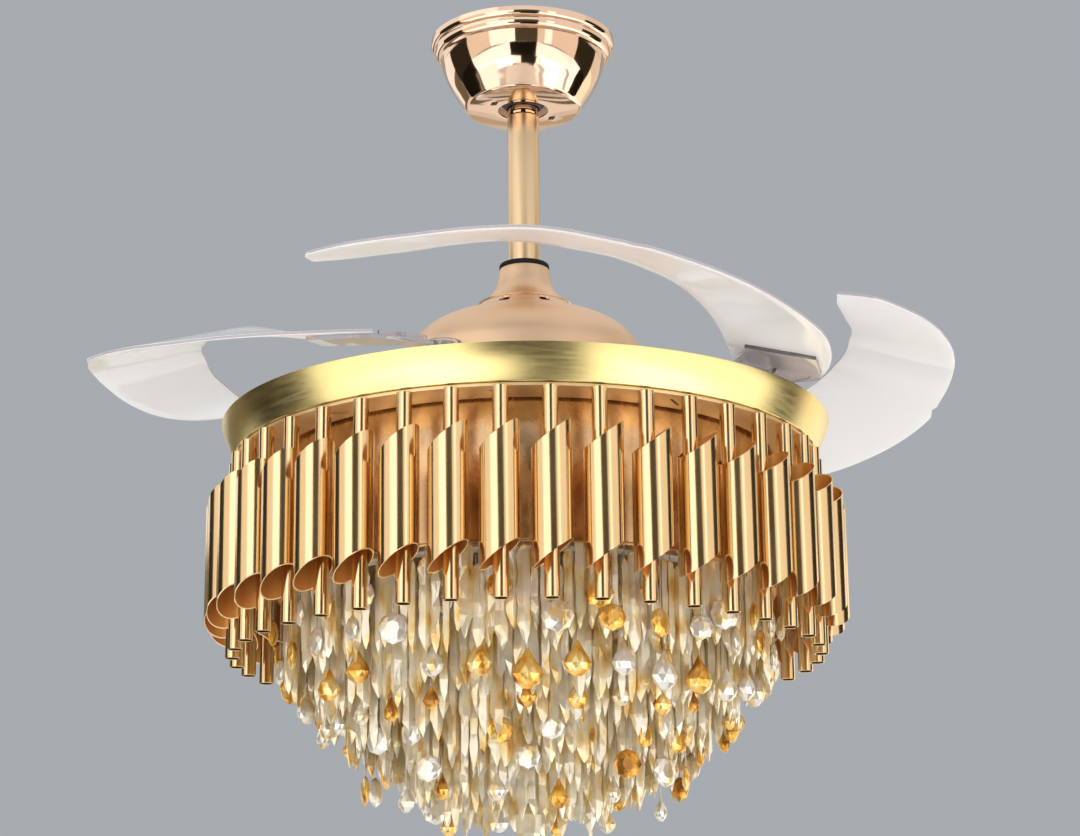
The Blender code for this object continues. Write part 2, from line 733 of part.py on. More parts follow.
def angle_between(angle, low, high):
    return (angle - low) % 360 <= high - low


def make_sync_ring():
    """Ring gear that turns on the disc's collar and meshes with every root bracket."""
    pitch = 360 / RING_TEETH
    sweep = OPEN_FULL * GEAR_RATIO
    margin = 3.2

    def in_mesh(middle):
        angle = (middle + pitch / 2) % (360 / BLADES)
        return angle_between(angle, -margin, sweep + margin)

    def shifted(points):
        turn = Matrix.Rotation(math.radians(pitch / 2), 2)
        return [tuple(turn @ Vector(p)) for p in points]

    rim = RING_PITCH_R - 2 * GEAR_MODULE
    outline = shifted(toothed_outline(RING_PITCH_R, RING_TEETH, rim, in_mesh, 6 * pitch))
    ring = flat_shape("sync_ring", [outline, circle(hole_radius(COLLAR_R, 36), 36)],
                      DISC_TOP_Z + GAP, GEAR_THICK, nylon())
    ring.rotation_euler = (0, 0, math.radians(FIRST_PIVOT_ANGLE - OPEN_AT_REST * GEAR_RATIO))
    return ring


def pivot_angle(n):
    return FIRST_PIVOT_ANGLE + 360 / BLADES * n


def make_rotor_disc():
    """Round carrier with the collar that guides the ring gear and one hole per pivot."""
    rim = PIVOT_R + HUB_R + DISC_MARGIN
    hub = SHAFT_R + DISC_HUB_ROOM
    top, foot = DISC_TOP_Z, DISC_FOOT_Z
    profile = [(rim, top), (rim, foot), (hub, foot), (hub, top),
               (COLLAR_R - COLLAR_WALL, top), (COLLAR_R - COLLAR_WALL, COLLAR_TOP_Z),
               (COLLAR_R, COLLAR_TOP_Z), (COLLAR_R, top)]
    disc = turned("rotor_disc", profile, steel(), 32)
    for n in range(BLADES):
        tool = cylinder(f"pivot_hole_tool_{n}", PIVOT_PIN_R + GAP, 4 * DISC_THICK, steel(), 8)
        tool.location = (*polar(PIVOT_R, pivot_angle(n)), (top + foot) / 2)
        cut(disc, tool)
    return disc


def make_pivots():
    """Shoulder pins and the torsion springs that fold the blades away."""
    spring_foot = DISC_TOP_Z + GAP + HUB_HEIGHT - HUB_POCKET_DEPTH + GAP
    coil_height = SPRING_TURNS * SPRING_WIRE_R * 2.4
    head_foot = spring_foot + coil_height + 2 * SPRING_WIRE_R + GAP
    nut_top = DISC_FOOT_Z - GAP
    nut_foot = nut_top - PIVOT_NUT_HEIGHT
    head_top = head_foot + PIVOT_HEAD_HEIGHT
    profile = [(0, head_top), (PIVOT_HEAD_R, head_top),
               (PIVOT_HEAD_R, head_foot),
               (PIVOT_PIN_R, head_foot), (PIVOT_PIN_R, nut_top), (PIVOT_HEAD_R, nut_top),
               (PIVOT_HEAD_R, nut_foot), (0, nut_foot)]
    for n in range(BLADES):
        pin = turned(f"pivot_pin_{n + 1}", profile, steel(), 8, ring=False)
        pin.location = (*polar(PIVOT_R, pivot_angle(n)), 0)
        spring = make_spring(f"blade_spring_{n + 1}", spring_foot, coil_height)
        spring.location = pin.location
        spring.rotation_euler = (0, 0, math.radians(pivot_angle(n)))


def make_spring(name, foot, height):
    """Coil about the pin with two straight legs that leave it at a tangent."""
    per_turn = 7
    steps = SPRING_TURNS * per_turn
    leg = SPRING_R * 0.7
    points = [(SPRING_R, -leg, foot + SPRING_WIRE_R)]
    for i in range(steps + 1):
        turn = math.tau * i / per_turn
        points.append((SPRING_R * math.cos(turn), SPRING_R * math.sin(turn),
                       foot + SPRING_WIRE_R + height * i / steps))
    points.append((SPRING_R, leg, foot + SPRING_WIRE_R + height))
    bm = bmesh.new()
    rings = []
    for point in points:
        outward = Vector((point[0], point[1], 0)).normalized() * SPRING_WIRE_R
        upward = Vector((0, 0, SPRING_WIRE_R))
        rings.append([bm.verts.new(Vector(point) + side)
                      for side in (outward, upward, -outward, -upward)])
    for before, after in zip(rings, rings[1:]):
        for i in range(4):
            bm.faces.new((before[i], before[i - 1], after[i - 1], after[i]))
    bm.faces.new(rings[0])
    bm.faces.new(rings[-1])
    return mesh_object(name, bm, steel())


def edge_at(edge, arc):
    """Radius and height of one edge of a folded blade at an arc angle."""
    before = max((row for row in edge if row[0] <= arc), default=edge[0])
    after = min((row for row in edge if row[0] >= arc), default=edge[-1])
    t = (arc - before[0]) / (after[0] - before[0]) if after[0] > before[0] else 0.0
    inset, height = (a + (b - a) * t for a, b in zip(before[1:], after[1:]))
    return FOLD_CIRCLE_R - inset, BAND_Z + height


def blade_height(arc, radius):
    """Height of a blade's middle surface, straight from its inner to its outer edge."""
    if arc == BLADE_TIP[0]:
        return BAND_Z + BLADE_TIP[2]
    out_r, out_z = edge_at(BLADE_OUTER, arc)
    in_r, in_z = edge_at(BLADE_INNER, arc)
    return in_z + (out_z - in_z) * (radius - in_r) / (out_r - in_r)


def blade_point(arc, radius, lift=0.0):
    """A point of a folded blade, with its pivot as origin and +X pointing outwards."""
    x, y = polar(radius, -arc)
    return Vector((x - PIVOT_R, y, blade_height(arc, radius) + lift))


def blade_strip(name, outer, inner, tip, lift, thick, finish, across=2):
    """A pitched sheet between an outer and an inner edge, given as arc and radius."""
    bm = bmesh.new()
    rows = []
    for (arc, out_r), (_, in_r) in zip(outer, inner):
        row = [bm.verts.new(blade_point(arc, in_r + (out_r - in_r) * i / across, lift))
               for i in range(across + 1)]
        rows.append(row)
    for before, after in zip(rows, rows[1:]):
        for i in range(across):
            bm.faces.new((before[i], before[i + 1], after[i + 1], after[i]))
    if tip:
        end = bm.verts.new(blade_point(*tip, lift))
        for i in range(across):
            bm.faces.new((rows[-1][i], rows[-1][i + 1], end))
    sheet = mesh_object(name, bm, finish)
    skin = sheet.modifiers.new("thickness", "SOLIDIFY")
    skin.thickness = thick
    skin.offset = 0.0
    return sheet


def seat_blade(obj, n, turned_by):
    obj.location = (*polar(PIVOT_R, pivot_angle(n)), 0)
    obj.rotation_euler = (0, 0, math.radians(pivot_angle(n) + turned_by))


def make_blade(n):
    """Clear crescent: an arm, a nick where it widens, and a paddle with a hooked tip."""
    outer = [(arc, FOLD_CIRCLE_R - inset) for arc, inset, _ in BLADE_OUTER]
    inner = [(arc, FOLD_CIRCLE_R - inset) for arc, inset, _ in BLADE_INNER]
    tip = (BLADE_TIP[0], FOLD_CIRCLE_R - BLADE_TIP[1])
    blade = blade_strip(f"blade_{n + 1}", outer, inner, tip, 0.0, BLADE_THICK,
                        clear_acrylic())
    seat_blade(blade, n, OPEN_AT_REST)


def root_edges():
    """Outer and inner edges of the root plate, from its hub to its tongue under the blade."""
    root_out = FOLD_CIRCLE_R - BLADE_OUTER[0][1]
    root_in = FOLD_CIRCLE_R - BLADE_INNER[0][1]
    inset = ROOT_SET_IN
    out_shoulder, in_shoulder = ROOT_SHOULDERS
    outer = [(-1.5, PIVOT_R + HUB_R * 0.7), (4, PIVOT_R + HUB_R),
             (10, root_out - out_shoulder), (17, root_out - inset),
             (23, root_out - 2 * inset), (30, root_out - 3 * inset)]
    inner = [(-1.5, PIVOT_R - HUB_R * 0.7), (4, PIVOT_R - HUB_R),
             (10, root_in + in_shoulder), (17, root_in + inset),
             (23, root_in + 2 * inset), (30, root_in + 3 * inset)]
    return outer, inner


def rib(name, start, end, lift, finish):
    """A low upright rib between two points of the root plate."""
    foot_lift = lift - ROOT_PLATE_THICK * 0.3
    top_lift = lift + ROOT_PLATE_THICK / 2 + RIB_HEIGHT
    bm = bmesh.new()
    ends = []
    for arc, radius in (start, end):
        ends.append((blade_point(arc, radius, foot_lift), blade_point(arc, radius, top_lift)))
    bm.faces.new([bm.verts.new(p) for p in (ends[0][0], ends[1][0], ends[1][1], ends[0][1])])
    obj = mesh_object(name, bm, finish)
    skin = obj.modifiers.new("thickness", "SOLIDIFY")
    skin.thickness = RIB_THICK
    skin.offset = 0.0
    return obj


def make_root_bracket(n):
    """Ribbed clear bracket: hub, gear sector and the plate that the blade is screwed to."""
    finish = clear_acrylic()
    lift = -(BLADE_THICK + ROOT_PLATE_THICK) / 2 - BLADE_SEAT
    outer, inner = root_edges()
    foot = DISC_TOP_Z + GAP
    name = f"blade_bracket_{n + 1}"
    hub = cylinder(name, HUB_R, HUB_HEIGHT, finish, 14)
    bmesh_shift(hub, foot + HUB_HEIGHT / 2)
    join(hub, blade_strip(name + "_plate", outer, inner, None, lift, ROOT_PLATE_THICK,
                          finish))
    margin = 7.5

    def in_mesh(middle):
        return angle_between(middle, 180 - OPEN_FULL - margin, 180 + margin)

    outline = toothed_outline(PINION_PITCH_R, PINION_TEETH, HUB_R * 0.9, in_mesh, 30)
    sector = flat_shape(name + "_sector", [outline], foot + SECTOR_SET_IN,
                        GEAR_THICK - 2 * SECTOR_SET_IN, finish)
    join(hub, sector)
    middle = [(out_r + in_r) / 2 for (_, out_r), (_, in_r) in zip(outer, inner)]
    tongue_arc = BLADE_OUTER[0][0] - 1
    aims = (inner[3][1] + RIB_SET_IN, middle[3], outer[3][1] - RIB_SET_IN)
    for k, aim in enumerate(aims):
        start = (5.2, PIVOT_R + (k - 1) * HUB_R * 0.75)
        join(hub, rib(f"{name}_rib_{k}", start, (tongue_arc, aim), lift, finish))
    low, high = CROSS_RIB_SET_IN
    across = ((11.5, inner[2][1] + low), (11.5, outer[2][1] - high))
    join(hub, rib(f"{name}_rib_3", *across, lift, finish))
    bore = cylinder(name + "_bore_tool", hole_radius(PIVOT_PIN_R, 10), 4 * HUB_HEIGHT,
                    finish, 10)
    bmesh_shift(bore, foot + HUB_HEIGHT / 2)
    pocket = cylinder(name + "_pocket_tool", hole_radius(HUB_POCKET_R, 14),
                      2 * HUB_POCKET_DEPTH, finish, 14)
    bmesh_shift(pocket, foot + HUB_HEIGHT)
    for piece in (*cutters_of(hub), bore, pocket):
        seat_blade(piece, n, OPEN_AT_REST)
    cut(hub, bore)
    cut(hub, pocket)
    seat_blade(hub, n, OPEN_AT_REST)


def bmesh_shift(obj, height):
    """Moves a mesh up or down in its own frame, so that its origin stays on the pivot."""
    obj.data.transform(Matrix.Translation((0, 0, height)))


def cutters_of(obj):
    return [m.object for m in obj.modifiers if m.type == "BOOLEAN"]


def make_lamp_body():
    ledge_z = BAND_FOOT_Z + BAND_WALL
    band = [(BAND_TOP_R - BAND_LIP, BAND_Z), (BAND_TOP_R, BAND_Z), (BAND_FOOT_R, BAND_FOOT_Z),
            (BAND_FOOT_R - BAND_LEDGE, BAND_FOOT_Z), (BAND_FOOT_R - BAND_LEDGE, ledge_z),
            (BAND_FOOT_R - BAND_WALL, ledge_z), (BAND_TOP_R - BAND_WALL, BAND_Z - BAND_WALL),
            (BAND_TOP_R - BAND_LIP, BAND_Z - BAND_WALL)]
    turned("gold_band", band, brushed_gold(), BAND_SIDES)
    taper = (BAND_TOP_R - BAND_FOOT_R) / BAND_HEIGHT
    top_r = BAND_TOP_R - BAND_WALL - taper * (PLATE_THICK + 2 * GAP) - GAP
    top = disc_ring("lamp_top_plate", SHAFT_R + GAP, top_r, LAMP_TOP_Z, PLATE_THICK,
                    satin_gold(), BAND_SIDES)
    post_top = LAMP_TOP_Z - PLATE_THICK / 2
    post_foot = LAMP_FLOOR_TOP_Z + GAP
    for n in range(BLADES):
        post = cylinder(f"post_{n}", POST_R, post_top - post_foot, steel(), 8)
        post.location = (*polar(POST_CIRCLE_R, 45 + 90 * n), (post_top + post_foot) / 2)
        join(top, post)
    flange_top = LAMP_TOP_Z - PLATE_THICK - GAP
    flange_foot = flange_top - PLATE_THICK
    hub_foot = flange_top - FLANGE_HUB_LENGTH
    bore = SHAFT_R + GAP
    flange = [(FLANGE_R, flange_top), (FLANGE_R, flange_foot), (FLANGE_HUB_R, flange_foot),
              (FLANGE_HUB_R, hub_foot), (SHAFT_BORE_R, hub_foot),
              (SHAFT_BORE_R, hub_foot + FLANGE_LIP), (bore, hub_foot + FLANGE_LIP),
              (bore, flange_top)]
    turned("lamp_flange", flange, steel(), 16)
    bottom_r = DRUM_R + DRUM_SEAM + FLOOR_SEAT
    disc_ring("lamp_bottom_plate", CENTRE_ROD_R + GAP, bottom_r, LAMP_FLOOR_TOP_Z,
              PLATE_THICK, mirror_rose(), 36)
    inner, outer = DRIVER_RADII
    driver_foot = LAMP_FLOOR_TOP_Z + GAP
    edge = DRIVER_HEIGHT * 0.12
    driver = [(outer - edge, driver_foot + DRIVER_HEIGHT),
              (outer, driver_foot + DRIVER_HEIGHT - edge), (outer, driver_foot),
              (inner, driver_foot), (inner, driver_foot + DRIVER_HEIGHT)]
    turned("led_driver", driver, black_plastic(), 20)


def tube_angle(n):
    return -90 + 360 / TUBE_COUNT * (n + 0.5)


def slanted_tube(name, radius, length, middle, slope, sides):
    """An open tube whose two cut ends rise along +Y."""
    bm = bmesh.new()
    bmesh.ops.create_cone(bm, cap_ends=False, segments=sides, radius1=radius,
                          radius2=radius, depth=length)
    for vert in bm.verts:
        vert.co.z += slope * vert.co.y
    bmesh.ops.translate(bm, vec=middle, verts=bm.verts)
    return mesh_object(name, bm, tube_gold())


def baked(obj):
    """The finished mesh of an object, which is then taken out of the scene."""
    view = bpy.context.evaluated_depsgraph_get()
    mesh = bpy.data.meshes.new_from_object(obj.evaluated_get(view))
    bpy.data.objects.remove(obj)
    return mesh


def make_tube_unit(foot):
    """One slant-cut tube with its thin straight tube welded inside, at angle zero."""
    slope = math.tan(math.radians(TUBE_CUT_ANGLE))
    middle = Vector((BIG_TUBE_CIRCLE_R, 0, foot - BIG_TUBE_DROP - BIG_TUBE_LENGTH / 2))
    unit = slanted_tube("tube_unit", BIG_TUBE_R, BIG_TUBE_LENGTH, middle, slope, 8)
    skin = unit.modifiers.new("wall", "SOLIDIFY")
    skin.thickness = BIG_TUBE_WALL
    skin.offset = -1.0
    thin_x = BIG_TUBE_CIRCLE_R - BIG_TUBE_R + BIG_TUBE_WALL + THIN_TUBE_R - WELD_DEPTH
    sunk = TUBE_RING_THICK / 2
    thin = cylinder("thin_tube_guide", THIN_TUBE_R, THIN_TUBE_LENGTH + sunk, tube_gold(), 5)
    thin.location = (thin_x, 0, foot + sunk - (THIN_TUBE_LENGTH + sunk) / 2)
    thin.rotation_euler = (0, 0, math.pi)
    return baked(join(unit, thin))


def make_tube_ring():
    """Flat ring under the band that carries every pair of tubes."""
    inner = DRUM_R + DRUM_SEAM
    outer = BAND_FOOT_R - BAND_WALL
    ring = disc_ring("tube_ring", inner, outer, TUBE_RING_Z, TUBE_RING_THICK,
                     tube_gold(), BAND_SIDES)
    unit = make_tube_unit(TUBE_RING_Z - TUBE_RING_THICK)
    bm = bmesh.new()
    for n in range(TUBE_COUNT):
        before = len(bm.verts)
        bm.from_mesh(unit)
        bm.verts.ensure_lookup_table()
        turn = Matrix.Rotation(math.radians(tube_angle(n)), 4, "Z")
        bmesh.ops.transform(bm, matrix=turn, verts=bm.verts[before:])
    join(ring, mesh_object("tube_units", bm, tube_gold()))


def make_drum():
    bore = DRUM_R - DRUM_WALL
    drum = [(DRUM_R, DRUM_TOP_Z), (DRUM_R, DRUM_FOOT_Z), (bore, DRUM_FOOT_Z),
            (bore, DRUM_TOP_Z)]
    turned("inner_drum", drum, mirror_rose(), 40)
    disc_ring("crystal_plate", CENTRE_ROD_R + GAP, DRUM_R, CRYSTAL_PLATE_Z, PLATE_THICK,
              mirror_rose(), 40)
    hub_foot = LAMP_TOP_Z - PLATE_THICK - GAP - FLANGE_HUB_LENGTH
    rod_top = hub_foot - GAP
    rod_foot = HANG_Z - NUT_HEIGHT
    rod = cylinder("centre_rod", CENTRE_ROD_R, rod_top - rod_foot, steel(), 10)
    rod.location = (0, 0, (rod_top + rod_foot) / 2)
    nut = disc_ring("rod_nut", hole_radius(CENTRE_ROD_R, 6), NUT_R, HANG_Z, NUT_HEIGHT,
                    steel(), 6)
    nut.data.shade_flat()
    for name, row in (("led_ring_outer", 0), ("led_ring_inner", 3)):
        middle = (row_radius(row) + row_radius(row + 1)) / 2
        width = min(LED_WIDTH, ROW_PITCH - HOOP_WIDTH - 4 * GAP)
        disc_ring(name, middle - width / 2, middle + width / 2, HANG_Z, LED_THICK,
                  led_board(), 24)


def row_radius(row):
    return ROW_OUTER_R - ROW_PITCH * row


def sides_within(radius, depth):
    """Fewest sides of a ring whose straight sides stay within a depth of the true round."""
    return math.ceil(math.pi / math.acos(1 - depth / radius))


def crystal_profile(length):
    """From the top: hanging wire, shoulder, long body and point."""
    body_top = -length + CRYSTAL_LENGTH
    return [(STRING_R, 0.0), (STRING_R, body_top),
            (CRYSTAL_R, body_top - CRYSTAL_LENGTH * 0.14), (0.0, -length)]


def spun_shape(profile, sides):
    """A profile spun about Z and closed at both ends, as a small mesh."""
    bm = bmesh.new()
    verts = [bm.verts.new((0.0, 0.0, profile[0][1]))]
    verts += [bm.verts.new((r, 0.0, z)) for r, z in profile]
    edges = [bm.edges.new(pair) for pair in zip(verts, verts[1:])]
    bmesh.ops.spin(bm, geom=verts + edges, cent=(0, 0, 0), axis=(0, 0, 1), angle=math.tau,
                   steps=sides, use_merge=True)
    bmesh.ops.remove_doubles(bm, verts=bm.verts, dist=1e-6)
    bmesh.ops.dissolve_degenerate(bm, edges=bm.edges, dist=1e-6)
    mesh = bpy.data.meshes.new("spun")
    bm.to_mesh(mesh)
    bm.free()
    return mesh


def make_crystal_rows():
    """One hoop of hanging crystals per row, longer towards the middle."""
    for row in range(ROW_COUNT):
        radius = row_radius(row)
        hoop_sides = max(20 - 2 * row, sides_within(radius, HOOP_WIDTH * 0.45))
        hoop = disc_ring(f"crystal_row_{row + 1}", radius - HOOP_WIDTH / 2,
                         radius + HOOP_WIDTH / 2, HANG_Z, HOOP_THICK, crystal(), hoop_sides)
        sunk = HOOP_THICK / 2
        length = FIRST_ROW_LENGTH + ROW_EXTRA_LENGTHS[row] + sunk
        shape = spun_shape(crystal_profile(length), 3)
        count = int(math.tau * radius / CRYSTAL_SPACING)
        bm = bmesh.new()
        for n in range(count):
            angle = math.tau * (n + 0.5 * (row % 2)) / count
            before = len(bm.verts)
            bm.from_mesh(shape)
            bm.verts.ensure_lookup_table()
            home = Matrix.Rotation(angle, 4, "Z") @ Matrix.Translation(
                (radius, 0, HANG_Z - HOOP_THICK + sunk))
            bmesh.ops.transform(bm, matrix=home, verts=bm.verts[before:])
        join(hoop, mesh_object(f"strings_{row + 1}", bm, crystal()))
        hoop.data.shade_flat()


def make_finial():
    top = HANG_Z - NUT_HEIGHT - GAP
    foot = HANG_Z - FINIAL_DROP
    ball_z = foot + FINIAL_R * 5.5
    stem_top = top - FINIAL_CAP_HEIGHT - FINIAL_CAP_TAPER
    profile = [(0, top), (NUT_R * 0.7, top), (NUT_R * 0.5, top - FINIAL_CAP_HEIGHT),
               (STRING_R * 1.5, stem_top), (STRING_R * 1.5, ball_z + FINIAL_R * 1.5),
               (FINIAL_R, ball_z), (FINIAL_R * 0.8, foot + FINIAL_R * 2), (0, foot)]
    obj = turned("finial_crystal", profile, crystal(), 8, ring=False)
    obj.data.shade_flat()


def make_fan():
    clear_scene()
    rod_pin_z = ROD_END_Z + ROD_SOCKET * 0.5
    shaft_pin_z = COUPLING_FOOT_Z + SHAFT_SOCKET * 0.6
    make_hanger_bracket()
    make_canopy()
    make_receiver()
    ball_pin_z = make_swivel()
    make_rod(ball_pin_z, rod_pin_z)
    make_coupling(rod_pin_z, shaft_pin_z)
    make_covers()
    make_motor(shaft_pin_z)
    make_rotor_disc()
    make_sync_ring()
    make_pivots()
    for n in range(BLADES):
        make_root_bracket(n)
        make_blade(n)
    make_lamp_body()
    make_tube_ring()
    make_drum()
    make_crystal_rows()
    make_finial()


make_fan()
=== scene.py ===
"""Looks for the chandelier ceiling fan: smooth metal, clear folding blades and cut crystals.

Metres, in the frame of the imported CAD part. The origin is on the ceiling, on the fan's axis.
"""

import math
import random

import bmesh
import bpy
from mathutils import Matrix, Vector


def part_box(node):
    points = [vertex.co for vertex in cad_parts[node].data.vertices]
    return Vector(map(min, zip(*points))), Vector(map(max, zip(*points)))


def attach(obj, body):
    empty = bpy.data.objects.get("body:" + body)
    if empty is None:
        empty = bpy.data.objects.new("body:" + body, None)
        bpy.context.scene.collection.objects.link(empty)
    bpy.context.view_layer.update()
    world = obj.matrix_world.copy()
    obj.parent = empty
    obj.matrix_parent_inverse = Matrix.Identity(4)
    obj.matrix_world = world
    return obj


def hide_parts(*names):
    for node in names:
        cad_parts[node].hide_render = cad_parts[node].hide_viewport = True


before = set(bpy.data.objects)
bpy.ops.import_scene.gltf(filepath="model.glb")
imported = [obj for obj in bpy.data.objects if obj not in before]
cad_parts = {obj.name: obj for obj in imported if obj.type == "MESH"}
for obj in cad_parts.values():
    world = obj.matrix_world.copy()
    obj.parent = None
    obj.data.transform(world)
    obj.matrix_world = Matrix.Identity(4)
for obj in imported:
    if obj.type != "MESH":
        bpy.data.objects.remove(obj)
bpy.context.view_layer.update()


def foot_z(node):
    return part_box(node)[0].z


def top_z(node):
    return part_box(node)[1].z


PENDANT, ROTOR, CEILING = "pendant", "rotor", "ceiling"
BLADES = 4
ROUND = 128
SHARP_ABOVE = 35.0
ON_AXIS = 1e-7

# Heights and radii that the pieces share, as in the CAD part. Angles are in degrees.
PIVOT_R = 0.190
FIRST_PIVOT_ANGLE = 250.9
OPEN_AT_REST, OPEN_FULL = 41.0, 126.0
GEAR_MODULE = 0.0025
RING_TEETH, PINION_TEETH = 128, 24
GEAR_RATIO = PINION_TEETH / RING_TEETH
BACKLASH = 0.00015
PRESSURE_ANGLE = math.radians(20)
HUB_R = 0.015
CLEARANCE = 0.0003
BAND_Z, BAND_FOOT_Z = top_z("gold_band"), foot_z("gold_band")
DISC_TOP_Z = foot_z("sync_ring") - CLEARANCE
HANG_Z = top_z("crystal_row_1")


# ---- Meshes ----

def link(obj):
    bpy.context.scene.collection.objects.link(obj)
    return obj


def shade(mesh, sharp_above=SHARP_ABOVE):
    mesh.shade_smooth()
    mesh.set_sharp_from_angle(angle=math.radians(sharp_above))


def to_mesh(bm, name="template"):
    """Turns a bmesh into a mesh whose faces point out."""
    bmesh.ops.recalc_face_normals(bm, faces=bm.faces)
    mesh = bpy.data.meshes.new(name)
    bm.to_mesh(mesh)
    bm.free()
    return mesh


def new_object(name, bm, smooth=SHARP_ABOVE):
    """An object from a bmesh. Its edges are sharp above an angle, or all of them at 0."""
    mesh = to_mesh(bm, name)
    if smooth:
        shade(mesh, smooth)
    return link(bpy.data.objects.new(name, mesh))


def lathe_into(bm, profile, segments=ROUND, loop=True):
    """Adds the closed or open profile of (radius, height) points, turned about Z."""
    rings = []
    for r, z in profile:
        if r < ON_AXIS:
            rings.append([bm.verts.new((0, 0, z))] * segments)
        else:
            rings.append([bm.verts.new((r * math.cos(math.tau * i / segments),
                                        r * math.sin(math.tau * i / segments), z))
                          for i in range(segments)])
    pairs = list(zip(rings, rings[1:]))
    if loop and profile[0][0] > ON_AXIS and profile[-1][0] > ON_AXIS:
        pairs.append((rings[-1], rings[0]))
    for a, b in pairs:
        for i in range(segments):
            j = (i + 1) % segments
            corners = []
            for v in (a[i], a[j], b[j], b[i]):
                if v not in corners:
                    corners.append(v)
            if len(corners) > 2:
                bm.faces.new(corners)


def lathe(name, profile, segments=ROUND, smooth=SHARP_ABOVE):
    bm = bmesh.new()
    lathe_into(bm, profile, segments)
    return new_object(name, bm, smooth)


def bridge(bm, rows, closed=True):
    """Joins each row of points to the next one with quads."""
    for a, b in zip(rows, rows[1:]):
        for i in range(len(a) if closed else len(a) - 1):
            j = (i + 1) % len(a)
            bm.faces.new((a[i], a[j], b[j], b[i]))


def washer(bore, radius, foot, top):
    return [(bore, foot), (radius, foot), (radius, top), (bore, top)]


def rounded(points, radius, steps=3):
    """A closed profile with its corners rounded off."""
    out = []
    count = len(points)
    for i in range(count):
        here = Vector(points[i])
        before = Vector(points[i - 1]) - here
        after = Vector(points[(i + 1) % count]) - here
        cut_back = min(radius, before.length * 0.45, after.length * 0.45)
        a = here + before.normalized() * cut_back
        b = here + after.normalized() * cut_back
        for k in range(steps + 1):
            t = k / steps
            out.append(tuple(a * (1 - t) ** 2 + here * 2 * t * (1 - t) + b * t ** 2))
    return out


def rounded_edge(radius, z, size, way):
    """Points round an outer edge: way 1 climbs from a foot, -1 reaches a top."""
    steps = 4
    points = []
    for k in range(steps + 1):
        bend = math.radians(90 * k / steps)
        along, across = size * math.sin(bend), size * math.cos(bend)
        if way > 0:
            points.append((radius - size + along, z + size - across))
        else:
            points.append((radius - size + across, z - size + along))
    return points


def smooth_line(points, steps=6):
    """A Catmull-Rom curve through the points."""
    line = []
    pts = [Vector(p) for p in points]
    ends = [2 * pts[0] - pts[1], *pts, 2 * pts[-1] - pts[-2]]
    for a, b, c, d in zip(ends, ends[1:], ends[2:], ends[3:]):
        for k in range(steps):
            t = k / steps
            line.append(0.5 * ((2 * b) + (c - a) * t + (2 * a - 5 * b + 4 * c - d) * t * t
                               + (3 * b - a - 3 * c + d) * t ** 3))
    return [tuple(p) for p in (*line, pts[-1])]


def shell_profile(outside, wall):
    """An open outer profile with a wall that grows inwards, as a closed profile."""
    inside = []
    pts = [Vector(p) for p in outside]
    for i, p in enumerate(pts):
        along = (pts[min(i + 1, len(pts) - 1)] - pts[max(i - 1, 0)]).normalized()
        inside.append(tuple(p + Vector((along.y, -along.x)) * -wall))
    return [tuple(p) for p in pts] + inside[::-1]


def plate_from(name, outlines, foot, thick):
    """A flat plate from 2D outlines, the later ones being holes."""
    curve = bpy.data.curves.new(name, "CURVE")
    curve.dimensions = "2D"
    curve.fill_mode = "BOTH"
    curve.extrude = thick / 2
    for points in outlines:
        spline = curve.splines.new("POLY")
        spline.points.add(len(points) - 1)
        for point, (x, y) in zip(spline.points, points):
            point.co = (x, y, 0.0, 1.0)
        spline.use_cyclic_u = True
    guide = link(bpy.data.objects.new(name + "_outline", curve))
    view = bpy.context.evaluated_depsgraph_get()
    mesh = bpy.data.meshes.new_from_object(guide.evaluated_get(view))
    bpy.data.objects.remove(guide)
    bpy.data.curves.remove(curve)
    bm = bmesh.new()
    bm.from_mesh(mesh)
    bpy.data.meshes.remove(mesh)
    bmesh.ops.remove_doubles(bm, verts=bm.verts, dist=1e-6)
    bmesh.ops.translate(bm, vec=(0, 0, foot + thick / 2), verts=bm.verts)
    return new_object(name, bm)


def apply_modifiers(obj):
    view = bpy.context.evaluated_depsgraph_get()
    mesh = bpy.data.meshes.new_from_object(obj.evaluated_get(view))
    obj.modifiers.clear()
    obj.data = mesh
    shade(mesh)
    return obj


def modified(obj, kind, **settings):
    """Applies one modifier."""
    change = obj.modifiers.new(kind.lower(), kind)
    for key, value in settings.items():
        setattr(change, key, value)
    return apply_modifiers(obj)


def boolean(obj, others, operation="DIFFERENCE"):
    """Cuts or joins with other objects, which are then deleted."""
    for other in others:
        change = obj.modifiers.new("boolean", "BOOLEAN")
        change.operation = operation
        change.solver = "EXACT"
        change.object = other
    apply_modifiers(obj)
    for other in others:
        bpy.data.objects.remove(other)


def polar(radius, degrees):
    return radius * math.cos(math.radians(degrees)), radius * math.sin(math.radians(degrees))


def circle(radius, sides):
    return [polar(radius, 360 * i / sides) for i in range(sides)]


def cut_slots(obj, size, radius, angles, foot, deep, slant=90):
    """Cuts slots of (length, width) on a circle, each slanted against its own radius."""
    length, width = size
    end_steps = 8
    tools = []
    for n, angle in enumerate(angles):
        turn, centre = Matrix.Rotation(math.radians(angle + slant), 2), polar(radius, angle)
        outline = []
        for side in (1, -1):
            for step in range(end_steps + 1):
                bend = math.radians(-90 + 180 / end_steps * step)
                point = Vector((side * ((length - width) / 2 + width / 2 * math.cos(bend)),
                                side * width / 2 * math.sin(bend)))
                outline.append(tuple(turn @ point + Vector(centre)))
        tools.append(plate_from(f"slot_tool_{n}", [outline], foot, deep))
    boolean(obj, tools)


def finish_piece(obj, material, body, nodes=()):
    """Puts the piece's place into its mesh, and gives it a material and a body."""
    obj.data.transform(obj.matrix_basis)
    obj.matrix_basis = Matrix()
    obj.data.materials.clear()
    obj.data.materials.append(material)
    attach(obj, body)
    if nodes:
        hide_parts(*nodes)
    return obj


